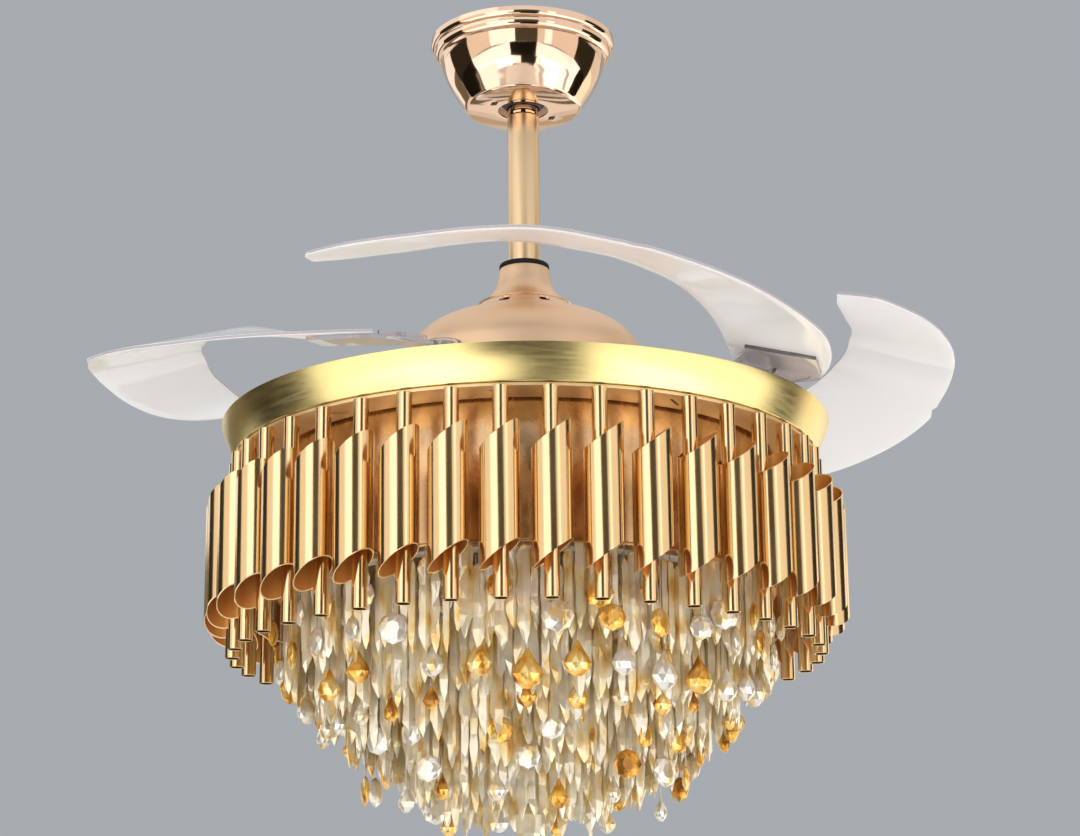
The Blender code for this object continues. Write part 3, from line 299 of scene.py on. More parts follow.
def turned(name, profile, segments, material, body, nodes=()):
    return finish_piece(lathe(name, profile, segments), material, body, nodes)


# ---- Materials ----

# The noise values between which colours and polish change.
CLOUD_LOW, CLOUD_HIGH = 0.3, 0.7
FINE_GRAIN = 900.0


def put(node, values):
    for socket, value in values.items():
        node.inputs[socket].default_value = value


def node_material(name, values=()):
    """A material with some of its shader's sockets set."""
    material = bpy.data.materials.new(name)
    material.use_nodes = True
    tree = material.node_tree
    shader = tree.nodes["Principled BSDF"]
    put(shader, dict(values))
    return material, tree, shader


def texture(tree, scale, detail=3.0, stretch=(1, 1, 1)):
    """A 3D noise in the object's own coordinates."""
    coords = tree.nodes.new("ShaderNodeTexCoord")
    mapping = tree.nodes.new("ShaderNodeMapping")
    noise = tree.nodes.new("ShaderNodeTexNoise")
    put(mapping, {"Scale": stretch})
    put(noise, {"Scale": scale, "Detail": detail})
    tree.links.new(coords.outputs["Object"], mapping.inputs["Vector"])
    tree.links.new(mapping.outputs["Vector"], noise.inputs["Vector"])
    return noise.outputs["Fac"]


def colour_by(tree, shader, source, stops):
    node = tree.nodes.new("ShaderNodeValToRGB")
    elements = node.color_ramp.elements
    elements[0].position, elements[0].color = stops[0][0], (*stops[0][1], 1)
    elements[1].position, elements[1].color = stops[-1][0], (*stops[-1][1], 1)
    for position, colour in stops[1:-1]:
        elements.new(position).color = (*colour, 1)
    tree.links.new(source, node.inputs["Fac"])
    tree.links.new(node.outputs["Color"], shader.inputs["Base Color"])


def polish_by(tree, shader, source, low, high):
    node = tree.nodes.new("ShaderNodeMapRange")
    put(node, {"From Min": CLOUD_LOW, "From Max": CLOUD_HIGH, "To Min": low, "To Max": high})
    tree.links.new(source, node.inputs["Value"])
    tree.links.new(node.outputs["Result"], shader.inputs["Roughness"])


def bump(tree, shader, source, strength, distance):
    node = tree.nodes.new("ShaderNodeBump")
    put(node, {"Strength": strength, "Distance": distance})
    tree.links.new(source, node.inputs["Height"])
    tree.links.new(node.outputs["Normal"], shader.inputs["Normal"])


def clouds(colour, dark, light):
    """Stops from a darker to a lighter shade of a colour."""
    return [(stop, tuple(min(1.0, c * share) for c in colour))
            for stop, share in ((CLOUD_LOW, dark), (CLOUD_HIGH, light))]


def metal(name, colour, roughness, vary=0.05, scale=60.0, stretch=(1, 1, 1), grain=0.0,
          grain_scale=FINE_GRAIN, tint=0.04, values=()):
    """Metal with slight clouding in its colour and polish, and a grain if it is brushed."""
    material, tree, shader = node_material(name, {"Metallic": 1.0, **dict(values)})
    cloud = texture(tree, scale, 4.0, stretch)
    colour_by(tree, shader, cloud, clouds(colour, 1 - tint, 1 + tint))
    polish_by(tree, shader, cloud, max(0.01, roughness - vary), roughness + vary)
    if grain:
        bump(tree, shader, texture(tree, grain_scale, 2.0, stretch), grain, 0.0002)
    return material


def plastic(name, colour, roughness, values=()):
    material, tree, shader = node_material(name, values)
    cloud = texture(tree, 40.0, 4.0)
    colour_by(tree, shader, cloud, clouds(colour, 0.93, 1.06))
    polish_by(tree, shader, cloud, roughness - 0.05, roughness + 0.05)
    bump(tree, shader, texture(tree, FINE_GRAIN, 2.0), 0.15, 0.0001)
    return material


def clear(name, colour, roughness, ior, transmission):
    """Clear acrylic with a faint clouding in its tint."""
    material, tree, shader = node_material(name, {
        "Transmission Weight": transmission, "IOR": ior, "Roughness": roughness})
    colour_by(tree, shader, texture(tree, 25.0, 2.0), clouds(colour, 0.97, 1.0))
    return material


ROSE_GOLD = metal("polished_rose_gold", (0.88, 0.63, 0.46), 0.07, 0.02, 25.0, tint=0.03)
SATIN_PEACH = metal("satin_peach", (0.86, 0.59, 0.38), 0.42, 0.03, 40.0, grain=0.03,
                    tint=0.03)
SATIN_GOLD = metal("satin_gold", (0.82, 0.60, 0.36), 0.33, 0.04, 120.0, (1, 1, 0.1),
                   grain=0.06, tint=0.03)
BRUSHED_GOLD = metal("brushed_gold", (0.90, 0.72, 0.31), 0.24, 0.03, 40.0, (1, 1, 12),
                     grain=0.02, grain_scale=60.0, tint=0.03, values={"Anisotropic": 0.5})
TUBE_GOLD = metal("tube_gold", (0.90, 0.66, 0.38), 0.17, 0.03, 90.0, (1, 1, 0.2), grain=0.01,
                  tint=0.03)
PLATE_GOLD = metal("underside_gold", (0.95, 0.72, 0.40), 0.50, grain=0.03)
# Painted shade: a darker, oranger copy of the tube gold for the tubes' inner walls.
TUBE_INSIDE_SHADE = metal("tube_inside_painted_shade", (0.72, 0.34, 0.09), 0.40, scale=90.0,
                    values={"Metallic": 0.6})
MIRROR_ROSE = metal("mirror_rose", (0.82, 0.52, 0.28), 0.26, 0.06, 70.0, (1, 1, 0.6),
                    grain=0.5, grain_scale=75.0, tint=0.25)
STEEL = metal("zinc_steel", (0.60, 0.60, 0.61), 0.32, 0.08, 80.0, grain=0.08)
BLACK_STEEL = metal("black_steel", (0.07, 0.07, 0.075), 0.42, 0.06, grain=0.1)
FERRITE = metal("ferrite", (0.12, 0.12, 0.125), 0.6, 0.08, 100.0, grain=0.2)
COPPER = metal("wound_copper", (0.75, 0.33, 0.16), 0.35, 0.06, 220.0, (1, 1, 8), grain=0.3)
RUBBER = plastic("black_rubber", (0.012, 0.011, 0.011), 0.75, {"Specular IOR Level": 0.2})
BLACK_PLASTIC = plastic("black_plastic", (0.025, 0.025, 0.027), 0.45)
NYLON = plastic("white_nylon", (0.80, 0.79, 0.74), 0.45)
LED_BOARD = plastic("led_board", (0.87, 0.86, 0.80), 0.45)
# Painted shade: a darker copy of the acrylic for the blades' edge faces.
ACRYLIC_RIM_SHADE = clear("acrylic_rim_painted_shade", (0.60, 0.55, 0.58), 0.10, 1.2, 0.3)
ROOT_ACRYLIC = clear("root_acrylic", (0.93, 0.88, 0.89), 0.02, 1.45, 0.9)


def acrylic_material():
    """Clear acrylic that scatters a little, so that it reads pale against the backdrop."""
    material, tree, shader = node_material("clear_acrylic", {
        "Transmission Weight": 0.12, "IOR": 1.16, "Subsurface Weight": 1.0,
        "Subsurface Radius": (1.0, 1.0, 1.0), "Subsurface Scale": 0.012,
        "Coat Weight": 0.3, "Coat Roughness": 0.03})
    cloud = texture(tree, 6.0, 2.0)
    colour_by(tree, shader, cloud, [(CLOUD_LOW, (0.96, 0.95, 0.99)),
                                    (CLOUD_HIGH, (0.98, 0.97, 1.0))])
    polish_by(tree, shader, cloud, 0.06, 0.12)
    return material


def crystal_material(name, colours, shine, see_through, relief):
    """Cut glass: a milky body, facets that mirror the studio, patches of colour from a noise,
    which in clear glass hold painted gold reflections, and fine upright lines.
    """
    material, tree, shader = node_material(name, {
        "Metallic": shine, "Transmission Weight": see_through, "IOR": 1.5})
    tone_and_glint = texture(tree, 95.0, 4.0, (1, 1, 0.4))
    colour_by(tree, shader, tone_and_glint, colours)
    polish_by(tree, shader, tone_and_glint, 0.03, 0.10)
    bump(tree, shader, texture(tree, 420.0, 3.0, (1, 1, 0.12)), relief, 0.0006)
    return material


ACRYLIC = acrylic_material()
# The cream stops are the glass's champagne tint; the orange and amber stops are painted
# reflections of the gold tubes and band.
CRYSTAL = crystal_material("crystal", [
    (0.30, (1.0, 0.96, 0.84)), (0.48, (1.0, 0.90, 0.68)), (0.58, (1.0, 0.81, 0.44)),
    (0.66, (0.95, 0.62, 0.20)), (0.74, (0.62, 0.32, 0.08))], 0.30, 0.36, 0.35)
AMBER = crystal_material("amber_crystal", [
    (0.36, (1.0, 0.84, 0.44)), (0.46, (1.0, 0.64, 0.16)), (0.56, (0.86, 0.40, 0.05)),
    (0.64, (0.40, 0.17, 0.03))], 0.5, 0.25, 0.6)
# The orange stop is a painted reflection of the gold tubes.
CLEAR_STONE = crystal_material("clear_stone", [
    (0.30, (0.97, 0.95, 0.90)), (0.52, (0.98, 0.91, 0.78)), (0.62, (0.96, 0.72, 0.32))],
    0.40, 0.42, 0.3)


# ---- Hanger and rod ----

CANOPY_R = 0.0775
CANOPY_WALL = 0.0012
CANOPY_SLOT = (0.0095, 0.0036)
CANOPY_SLOT_R = 0.0295
CANOPY_SLOT_ANGLES = (34.0, 214.0)
ROD_R, ROD_BORE_R, ROD_HOLE_R = 0.0135, 0.0117, 0.0138
NECK_R, NECK_Z = 0.0128, -0.0685
BALL_R, BALL_Z = 0.022, -0.045


def make_canopy():
    foot = foot_z("canopy")
    rim = smooth_line([(CANOPY_R, -0.0003), (CANOPY_R, -0.0040), (CANOPY_R - 0.0010, -0.0064),
                       (CANOPY_R - 0.0030, -0.0076)], 4)
    step = smooth_line([(CANOPY_R - 0.0034, -0.0084), (CANOPY_R - 0.0036, -0.0118),
                        (CANOPY_R - 0.0050, -0.0146), (CANOPY_R - 0.0078, -0.0160)], 4)
    cup = smooth_line([(CANOPY_R - 0.0082, -0.0168), (0.0680, -0.0232), (0.0650, -0.0318),
                       (0.0606, -0.0412), (0.0545, -0.0508), (0.0484, foot + 0.0014)])
    lip = [(0.0466, foot), (0.0215, foot)]
    canopy = lathe("canopy_shell", shell_profile([*rim, *step, *cup, *lip], CANOPY_WALL), 160)
    cut_slots(canopy, CANOPY_SLOT, CANOPY_SLOT_R, CANOPY_SLOT_ANGLES, foot - 0.003, 0.008)
    finish_piece(canopy, ROSE_GOLD, CEILING, ["canopy"])


def ball_profile():
    bore, steps = ROD_HOLE_R, 24
    flat = math.acos((bore + 0.001) / BALL_R)
    skin = [(BALL_R * math.cos(-flat + 2 * flat * i / steps),
             BALL_Z + BALL_R * math.sin(-flat + 2 * flat * i / steps)) for i in range(steps + 1)]
    return [*skin, (bore, skin[-1][1]), (bore, skin[0][1])]


def make_hanger():
    turned("ball", ball_profile(), 96, BLACK_PLASTIC, PENDANT, ["hanger_ball"])
    foot = foot_z("downrod")
    rod = [(ROD_BORE_R, foot), *rounded_edge(ROD_R, foot, 0.0006, 1),
           *rounded_edge(ROD_R, NECK_Z, 0.0016, -1), (ROD_BORE_R, NECK_Z)]
    turned("rod", rod, 96, SATIN_GOLD, PENDANT, ["downrod"])
    neck = washer(ROD_BORE_R, NECK_R, NECK_Z + 0.0001, top_z("downrod"))
    turned("rod_neck", neck, 96, ROSE_GOLD, PENDANT)
    ring_foot, ring_top = foot_z("rubber_ring"), top_z("rubber_ring") + 0.0008
    ring = [(ROD_HOLE_R, ring_foot), (0.0212, ring_foot), (0.0208, ring_top),
            (ROD_HOLE_R, ring_top)]
    turned("rubber_washer", rounded(ring, 0.0011, 5), 96, RUBBER, PENDANT, ["rubber_ring"])


# ---- Covers and rotor ----

CONE_WALL, DOME_WALL = 0.0011, 0.0015
VENT_COUNT = 8
VENT, VENT_R = (0.0095, 0.0075), 0.0428
# The dome's outline: radius, and drop as a share of the dome's height.
DOME_CURVE = ((0.0382, 0), (0.0412, 0.036), (0.0450, 0.072), (0.0573, 0.126), (0.0728, 0.190),
              (0.0846, 0.266), (0.0932, 0.372), (0.0981, 0.49), (0.1000, 0.63))
DISC_R, DISC_BORE_R = 0.2077, 0.020
COLLAR_R, COLLAR_WALL = 0.1117, 0.0055
WINDOW_COUNT = 16
WINDOW, WINDOW_R = (0.036, 0.018), 0.1345
# How far the ring's teeth go on past the sectors' travel.
SPARE_TEETH_ANGLE = 3.2
PIN_R, PIN_HEAD_R, PIN_HEAD = 0.0049, 0.0088, 0.003
PIN_SOCKET_R, PIN_SOCKET_DEPTH = 0.0030, 0.0016


def make_covers():
    top = top_z("coupling_cover")
    outside = [(ROD_HOLE_R, top), (0.0188, top), (0.0198, top - 0.0008)]
    outside += smooth_line([(0.0199, top - 0.0012), (0.0221, top - 0.0128),
                            (0.0256, top - 0.0214), (0.0305, top - 0.0278),
                            (0.0352, top - 0.0312), (0.0392, top - 0.0333)], 5)
    turned("coupling_cone", shell_profile(outside, CONE_WALL), ROUND, SATIN_PEACH, PENDANT,
           ["coupling_cover"])
    foot, top = foot_z("motor_cover"), top_z("motor_cover")
    curve = smooth_line([(radius, top - share * (top - foot)) for radius, share in DOME_CURVE])
    rim = foot + 0.0016
    outside = [*curve, (0.1000, rim + 0.0030), (0.1008, rim + 0.0009), (0.1030, rim),
               (0.1175, rim)]
    dome = lathe("motor_dome", shell_profile(outside, DOME_WALL), 160)
    angles = [360 / VENT_COUNT * (n + 0.5) for n in range(VENT_COUNT)]
    cut_slots(dome, VENT, VENT_R, angles, top - 0.02, 0.03)
    finish_piece(dome, SATIN_PEACH, ROTOR, ["motor_cover"])


def involute_half_angle(radius, pitch_r, teeth):
    base_r = pitch_r * math.cos(PRESSURE_ANGLE)
    bend = math.acos(min(1.0, base_r / radius))
    at_pitch = math.pi / (2 * teeth) - BACKLASH / pitch_r
    lift = math.tan(PRESSURE_ANGLE) - PRESSURE_ANGLE
    return at_pitch + lift - (math.tan(bend) - bend)


def tooth(middle, pitch_r, teeth):
    """One tooth with involute sides, from root to tip and back."""
    tip = pitch_r + GEAR_MODULE * 0.97
    root = pitch_r - 1.25 * GEAR_MODULE
    base = pitch_r * math.cos(PRESSURE_ANGLE)
    radii = [root, max(root + 0.0003, base)]
    radii += [radii[-1] + (tip - radii[-1]) * k / 3 for k in (1, 2, 3)]
    points = []
    for side in (-1, 1):
        flank = []
        for radius in radii:
            half = math.degrees(involute_half_angle(max(radius, base), pitch_r, teeth))
            flank.append(polar(radius, middle + side * half))
        points += flank if side < 0 else flank[::-1]
    return points


def toothed_outline(pitch_r, teeth, plain_r, in_mesh):
    """A gear's outline, with teeth only where in_mesh says so of an angle."""
    outline = []
    pitch = 360 / teeth
    for n in range(teeth):
        middle = n * pitch
        if in_mesh(middle):
            outline.extend(tooth(middle, pitch_r, teeth))
        else:
            outline.extend(polar(plain_r, middle + pitch * k) for k in (-0.33, 0, 0.33))
    return outline


def angle_between(angle, low, high):
    return (angle - low) % 360 <= high - low


def make_rotor():
    foot, top = foot_z("rotor_disc"), top_z("rotor_disc")
    inside = COLLAR_R - COLLAR_WALL
    disc = [(DISC_BORE_R, foot), (DISC_R, foot), (DISC_R, DISC_TOP_Z), (COLLAR_R, DISC_TOP_Z),
            (COLLAR_R, top), (inside, top), (inside, DISC_TOP_Z), (DISC_BORE_R, DISC_TOP_Z)]
    turned("blade_carrier", rounded(disc, 0.0004, 2), 160, STEEL, ROTOR, ["rotor_disc"])
    pitch = 360 / RING_TEETH
    sweep = OPEN_FULL * GEAR_RATIO + SPARE_TEETH_ANGLE

    def in_mesh(middle):
        return angle_between((middle + pitch / 2) % (360 / BLADES), -SPARE_TEETH_ANGLE, sweep)

    ring_r = GEAR_MODULE * RING_TEETH / 2
    turn = Matrix.Rotation(math.radians(pitch / 2), 2)
    outline = [tuple(turn @ Vector(p)) for p in
               toothed_outline(ring_r, RING_TEETH, ring_r - 2 * GEAR_MODULE, in_mesh)]
    foot, top = foot_z("sync_ring"), top_z("sync_ring")
    ring = plate_from("ring_gear", [outline, circle(COLLAR_R + 0.0004, 160)], foot, top - foot)
    angles = [360 / WINDOW_COUNT * (n + 0.5) for n in range(WINDOW_COUNT)]
    cut_slots(ring, WINDOW, WINDOW_R, angles, foot - 0.001, 0.01)
    ring.data.transform(Matrix.Rotation(
        math.radians(FIRST_PIVOT_ANGLE - OPEN_AT_REST * GEAR_RATIO), 4, "Z"))
    finish_piece(ring, NYLON, "sync_ring", ["sync_ring"])


def pivot_angle(n):
    return FIRST_PIVOT_ANGLE + 360 / BLADES * n


def make_pivots():
    nut_top = foot_z("rotor_disc") - CLEARANCE
    for n in range(BLADES):
        low, high = foot_z(f"pivot_pin_{n + 1}"), top_z(f"pivot_pin_{n + 1}")
        head_foot, socket = high - PIN_HEAD, high - PIN_SOCKET_DEPTH
        profile = [(0, low), *rounded_edge(PIN_HEAD_R, low, 0.0005, 1), (PIN_HEAD_R, nut_top),
                   (PIN_R, nut_top), (PIN_R, head_foot), (PIN_HEAD_R, head_foot),
                   *rounded_edge(PIN_HEAD_R, high, 0.0009, -1),
                   (PIN_SOCKET_R + 0.0020, high), (PIN_SOCKET_R, socket), (0, socket)]
        pin = lathe(f"shoulder_pin_{n + 1}", profile, 64)
        pin.location = (*polar(PIVOT_R, pivot_angle(n)), 0)
        finish_piece(pin, STEEL, ROTOR, [f"pivot_pin_{n + 1}"])
        node = f"blade_spring_{n + 1}"
        spring = make_spring(f"torsion_spring_{n + 1}", foot_z(node), top_z(node))
        # A known fault: the springs stand on the fan's axis, and not on their pins.
        spring.rotation_euler = (0, 0, math.radians(pivot_angle(n)))
        finish_piece(spring, STEEL, ROTOR, [node])


def make_spring(name, foot, top):
    """Round wire wound as a coil, with a straight leg at each end."""
    wire, coil_r, turns, per_turn, sides = 0.0007, 0.0075, 2, 24, 8
    leg = coil_r * 0.66
    height = top - foot - 2 * wire
    path = [Vector((coil_r, -leg * (1 - k / 3), foot + wire)) for k in range(3)]
    for i in range(turns * per_turn + 1):
        a = math.tau * i / per_turn
        path.append(Vector((coil_r * math.cos(a), coil_r * math.sin(a),
                            foot + wire + height * i / (turns * per_turn))))
    path += [Vector((coil_r, leg * (k + 1) / 3, top - wire)) for k in range(3)]
    bm = bmesh.new()
    rings = []
    for i, p in enumerate(path):
        along = (path[min(i + 1, len(path) - 1)] - path[max(i - 1, 0)]).normalized()
        out = along.cross(Vector((0, 0, 1))).normalized()
        over = out.cross(along)
        rings.append([bm.verts.new(p + wire * (out * math.cos(math.tau * k / sides)
                                               + over * math.sin(math.tau * k / sides)))
                      for k in range(sides)])
    bridge(bm, rings)
    bm.faces.new(rings[0])
    bm.faces.new(rings[-1])
    return new_object(name, bm)


# ---- Blades ----

BLADE_THICK = 0.0026
FOLD_CIRCLE_R = 0.239
# Faces whose normal rises less than this are the blade's edges, which get a darker tint: painted
# shade.
RIM_STEEPNESS = 0.45
# Edges of a folded blade: arc angle, distance inwards of the fold circle, and height over
# the band.
BLADE_OUTER = ((17, 0.006, 0.0130), (23, 0.0045, 0.0120), (30, 0.003, 0.0112),
               (44, 0.0, 0.0122), (58, 0.0, 0.0160), (72, 0.001, 0.0240),
               (84, 0.0035, 0.0320), (90, 0.005, 0.0365), (93, 0.0105, 0.0395),
               (94.5, 0.009, 0.0400), (98, 0.011, 0.0425), (110, 0.014, 0.0500),
               (122, 0.016, 0.0515), (134, 0.015, 0.0510), (146, 0.012, 0.0525),
               (155, 0.015, 0.0560), (162, 0.023, 0.0610))
BLADE_INNER = ((17, 0.079, 0.0288), (23, 0.082, 0.0292), (30, 0.085, 0.0305),
               (44, 0.091, 0.0430), (58, 0.097, 0.0540), (72, 0.101, 0.0600),
               (84, 0.103, 0.0645), (90, 0.104, 0.0660), (93, 0.1045, 0.0670),
               (94.5, 0.105, 0.0672), (98, 0.105, 0.0680), (110, 0.103, 0.0710),
               (122, 0.101, 0.0725), (134, 0.094, 0.0705), (146, 0.086, 0.0685),
               (155, 0.075, 0.0678), (162, 0.062, 0.0670))
BLADE_TIP = (167.5, 0.043, 0.0660)
NICK = (90, 98)
ROOT_PLATE = 0.0030
RIB_HEIGHT, RIB_THICK, SLANT_RIB_THICK = 0.0032, 0.0018, 0.0014
HUB_HEIGHT, HUB_EDGE, HUB_BORE_R = 0.0134, 0.0006, 0.0053
POCKET_R, POCKET_DEPTH = 0.0110, 0.0090
SECTOR_THICK = 0.0046


def edge_curve(edge):
    """A smooth edge as (arc, radius, height) points, which ends at the blade's tip."""
    points = [(arc, FOLD_CIRCLE_R - inset, BAND_Z + height)
              for arc, inset, height in (*edge, BLADE_TIP)]
    before = [p for p in points if p[0] <= NICK[0]]
    nick = [p for p in points if NICK[0] < p[0] < NICK[1]]
    after = [p for p in points if p[0] >= NICK[1]]
    return [*smooth_line(before), *nick, *smooth_line(after, 5)]


OUTER_CURVE, INNER_CURVE = edge_curve(BLADE_OUTER), edge_curve(BLADE_INNER)


def edge_at(curve, arc):
    """Radius and height of an edge at an arc angle."""
    if arc <= curve[0][0]:
        return curve[0][1:]
    for a, b in zip(curve, curve[1:]):
        if a[0] <= arc <= b[0]:
            t = (arc - a[0]) / (b[0] - a[0])
            return a[1] + (b[1] - a[1]) * t, a[2] + (b[2] - a[2]) * t


def folded(arc, radius, z):
    """A point of a folded blade, with its pivot as origin and +X pointing outwards."""
    x, y = polar(radius, -arc)
    return Vector((x - PIVOT_R, y, z))


def root_point(arc, radius, lift):
    """A point of the root, which lies under the blade's own surface."""
    (out_r, out_z), (in_r, in_z) = edge_at(OUTER_CURVE, arc), edge_at(INNER_CURVE, arc)
    height = in_z + (out_z - in_z) * (radius - in_r) / (out_r - in_r)
    return folded(arc, radius, height + lift)


def blade_mesh():
    """A pitched crescent sheet with rounded edges, in the blade's folded frame."""
    across = 8
    bm = bmesh.new()
    rows = []
    for (arc, out_r, out_z), (_, in_r, in_z) in zip(OUTER_CURVE[:-1], INNER_CURVE[:-1]):
        rows.append([bm.verts.new(folded(arc, in_r + (out_r - in_r) * i / across,
                                         in_z + (out_z - in_z) * i / across))
                     for i in range(across + 1)])
    tip = bm.verts.new(folded(*OUTER_CURVE[-1]))
    bridge(bm, rows, False)
    for i in range(across):
        bm.faces.new((rows[-1][i], rows[-1][i + 1], tip))
    sheet = new_object("blade_sheet", bm)
    modified(sheet, "SOLIDIFY", thickness=BLADE_THICK, offset=0.0)
    return modified(sheet, "BEVEL", width=0.0008, segments=2, limit_method="ANGLE",
                    angle_limit=math.radians(50), harden_normals=False)


def root_sheet(outer, inner, lift):
    """The root plate between two edges that have the same number of points."""
    across = 4
    bm = bmesh.new()
    rows = []
    for (out_arc, out_r), (in_arc, in_r) in zip(outer, inner):
        rows.append([bm.verts.new(root_point(in_arc + (out_arc - in_arc) * i / across,
                                             in_r + (out_r - in_r) * i / across, lift))
                     for i in range(across + 1)])
    bridge(bm, rows, False)
    return modified(new_object("root_plate", bm), "SOLIDIFY", thickness=ROOT_PLATE, offset=0.0)


def rib(start, end, lift, thick=RIB_THICK):
    """An upright rib on the root plate, between two (arc, radius) points."""
    steps = 4
    bm = bmesh.new()
    rows = [[], []]
    for k in range(steps + 1):
        arc, radius = (a + (b - a) * k / steps for a, b in zip(start, end))
        for row, rise in zip(rows, (-ROOT_PLATE * 0.3, ROOT_PLATE / 2 + RIB_HEIGHT)):
            row.append(bm.verts.new(root_point(arc, radius, lift + rise)))
    bridge(bm, rows, False)
    return modified(new_object("root_rib", bm), "SOLIDIFY", thickness=thick, offset=0.0)


def root_mesh():
    """Hub, gear sector, tapered plate and upright ribs in one clear moulding."""
    lift = -(BLADE_THICK + ROOT_PLATE) / 2 - 0.0005
    foot = DISC_TOP_Z + CLEARANCE
    top, through = foot + HUB_HEIGHT, foot + 0.03
    root_out, root_in = OUTER_CURVE[0][1], INNER_CURVE[0][1]
    inset = 0.003
    outer = smooth_line([(-1.5, PIVOT_R + HUB_R * 0.7), (4, PIVOT_R + HUB_R),
                         (10, root_out - 0.022), (17, root_out - inset),
                         (23, root_out - 2 * inset), (30, root_out - 3 * inset)], 4)
    inner = smooth_line([(-1.5, PIVOT_R - HUB_R * 0.7), (4, PIVOT_R - HUB_R),
                         (10, root_in + 0.012), (17, root_in + inset),
                         (23, root_in + 2 * inset), (30, root_in + 3 * inset)], 4)
    hub = lathe("root_hub", [(0.0, foot), (HUB_R, foot), (HUB_R, top - HUB_EDGE),
                             (HUB_R - HUB_EDGE, top), (0.0, top)], 64)

    def in_mesh(middle):
        return angle_between(middle, 180 - OPEN_FULL - 7.5, 187.5)

    sector = toothed_outline(GEAR_MODULE * PINION_TEETH / 2, PINION_TEETH, HUB_R * 0.9, in_mesh)
    joined = [root_sheet(outer, inner, lift),
              plate_from("root_sector", [sector], foot + 0.0002, SECTOR_THICK)]
    ends = (root_in + 0.0095, (root_in + root_out) / 2, root_out - 0.0095)
    joined += [rib((5.2, PIVOT_R + (k - 1) * HUB_R * 0.75), (16, end), lift)
               for k, end in enumerate(ends)]
    joined.append(rib((11.5, root_in + 0.019), (11.5, root_out - 0.022), lift))
    joined += [rib((10.5, start), (16, ends[1]), lift, SLANT_RIB_THICK)
               for start in (root_in + 0.016, root_out - 0.022)]
    boolean(hub, joined, "UNION")
    boolean(hub, [lathe("root_bore", washer(0.0, HUB_BORE_R, foot - 0.01, through), 48),
                  lathe("root_pocket", washer(0.0, POCKET_R, top - POCKET_DEPTH, through), 64)])
    return hub


def seat_blade(obj, n):
    obj.location = (*polar(PIVOT_R, pivot_angle(n)), 0)
    obj.rotation_euler = (0, 0, math.radians(pivot_angle(n) + OPEN_AT_REST))


def make_blades():
    blade, root = blade_mesh(), root_mesh()
    for n in range(BLADES):
        for source, name, material, node in (
                (blade, "clear_blade", ACRYLIC, "blade"),
                (root, "ribbed_root", ROOT_ACRYLIC, "blade_bracket")):
            piece = link(bpy.data.objects.new(f"{name}_{n + 1}", source.data.copy()))
            seat_blade(piece, n)
            finish_piece(piece, material, f"folding_blade_{n + 1}", [f"{node}_{n + 1}"])
            if source is blade:
                # Edge faces, picked by the way they face, take the painted shade material.
                piece.data.materials.append(ACRYLIC_RIM_SHADE)
                for face in piece.data.polygons:
                    face.material_index = int(abs(face.normal.z) < RIM_STEEPNESS)
    bpy.data.objects.remove(blade)
    bpy.data.objects.remove(root)


# ---- Lamp body ----

BAND_TOP_R, BAND_FOOT_R = 0.250, 0.2392
BAND_WALL, BAND_LIP, BAND_LEDGE = 0.0016, 0.0045, 0.010
DRUM_R, DRUM_WALL = 0.203, 0.0015
LID_R, LID_BORE_R, LID_THICK = 0.2462, 0.0093, 0.002
FLOOR_R, ROD_PASS_R = 0.2138, 0.0053
TUBE_COUNT = 40
BIG_TUBE_R, BIG_TUBE_WALL = 0.01525, 0.0010
BIG_TUBE_CIRCLE_R = 0.2455
BIG_TUBE_LENGTH, BIG_TUBE_DROP = 0.091, 0.0397
TUBE_CUT_ANGLE = 37.0
THIN_TUBE_R, THIN_TUBE_WALL = 0.006, 0.0008
PLATE_R, PLATE_BORE_R, PLATE_THICK = 0.2376, 0.206, 0.0027
HANGING_SLOT, HANGING_SLOT_R, HANGING_SLOT_SLANT = (0.019, 0.0024), 0.2205, 128
# A pipe's faces are made in bands round it, of which one is its inner wall.
BIG_TUBE_SIDES, THIN_TUBE_SIDES, PIPE_BANDS, INNER_BAND = 48, 28, 8, 4


def make_lamp_body():
    band = [(BAND_TOP_R - BAND_LIP, BAND_Z), (BAND_TOP_R, BAND_Z), (BAND_FOOT_R, BAND_FOOT_Z),
            (BAND_FOOT_R - BAND_LEDGE, BAND_FOOT_Z),
            (BAND_FOOT_R - BAND_LEDGE, BAND_FOOT_Z + BAND_WALL),
            (BAND_FOOT_R - BAND_WALL, BAND_FOOT_Z + BAND_WALL),
            (BAND_TOP_R - BAND_WALL, BAND_Z - BAND_WALL),
            (BAND_TOP_R - BAND_LIP, BAND_Z - BAND_WALL)]
    turned("brushed_band", rounded(band, 0.0006), 256, BRUSHED_GOLD, PENDANT, ["gold_band"])
    lid_top = top_z("lamp_top_plate")
    turned("body_lid", washer(LID_BORE_R, LID_R, lid_top, lid_top - LID_THICK), 160,
           SATIN_GOLD, PENDANT, ["lamp_top_plate"])
    turned("body_floor", washer(ROD_PASS_R, FLOOR_R, foot_z("lamp_bottom_plate"),
                                top_z("lamp_bottom_plate")), 160,
           MIRROR_ROSE, PENDANT, ["lamp_bottom_plate"])
    bore, foot, top = DRUM_R - DRUM_WALL, foot_z("inner_drum"), top_z("inner_drum")
    drum = [(DRUM_R, top), (DRUM_R, foot), (bore, foot), (bore, top)]
    turned("mirror_drum", rounded(drum, 0.0005, 2), 192, MIRROR_ROSE, PENDANT, ["inner_drum"])
    tray = washer(ROD_PASS_R, DRUM_R - 0.0002, foot_z("crystal_plate"), top_z("crystal_plate"))
    turned("crystal_tray", rounded(tray, 0.0005, 2), 192, MIRROR_ROSE, PENDANT,
           ["crystal_plate"])


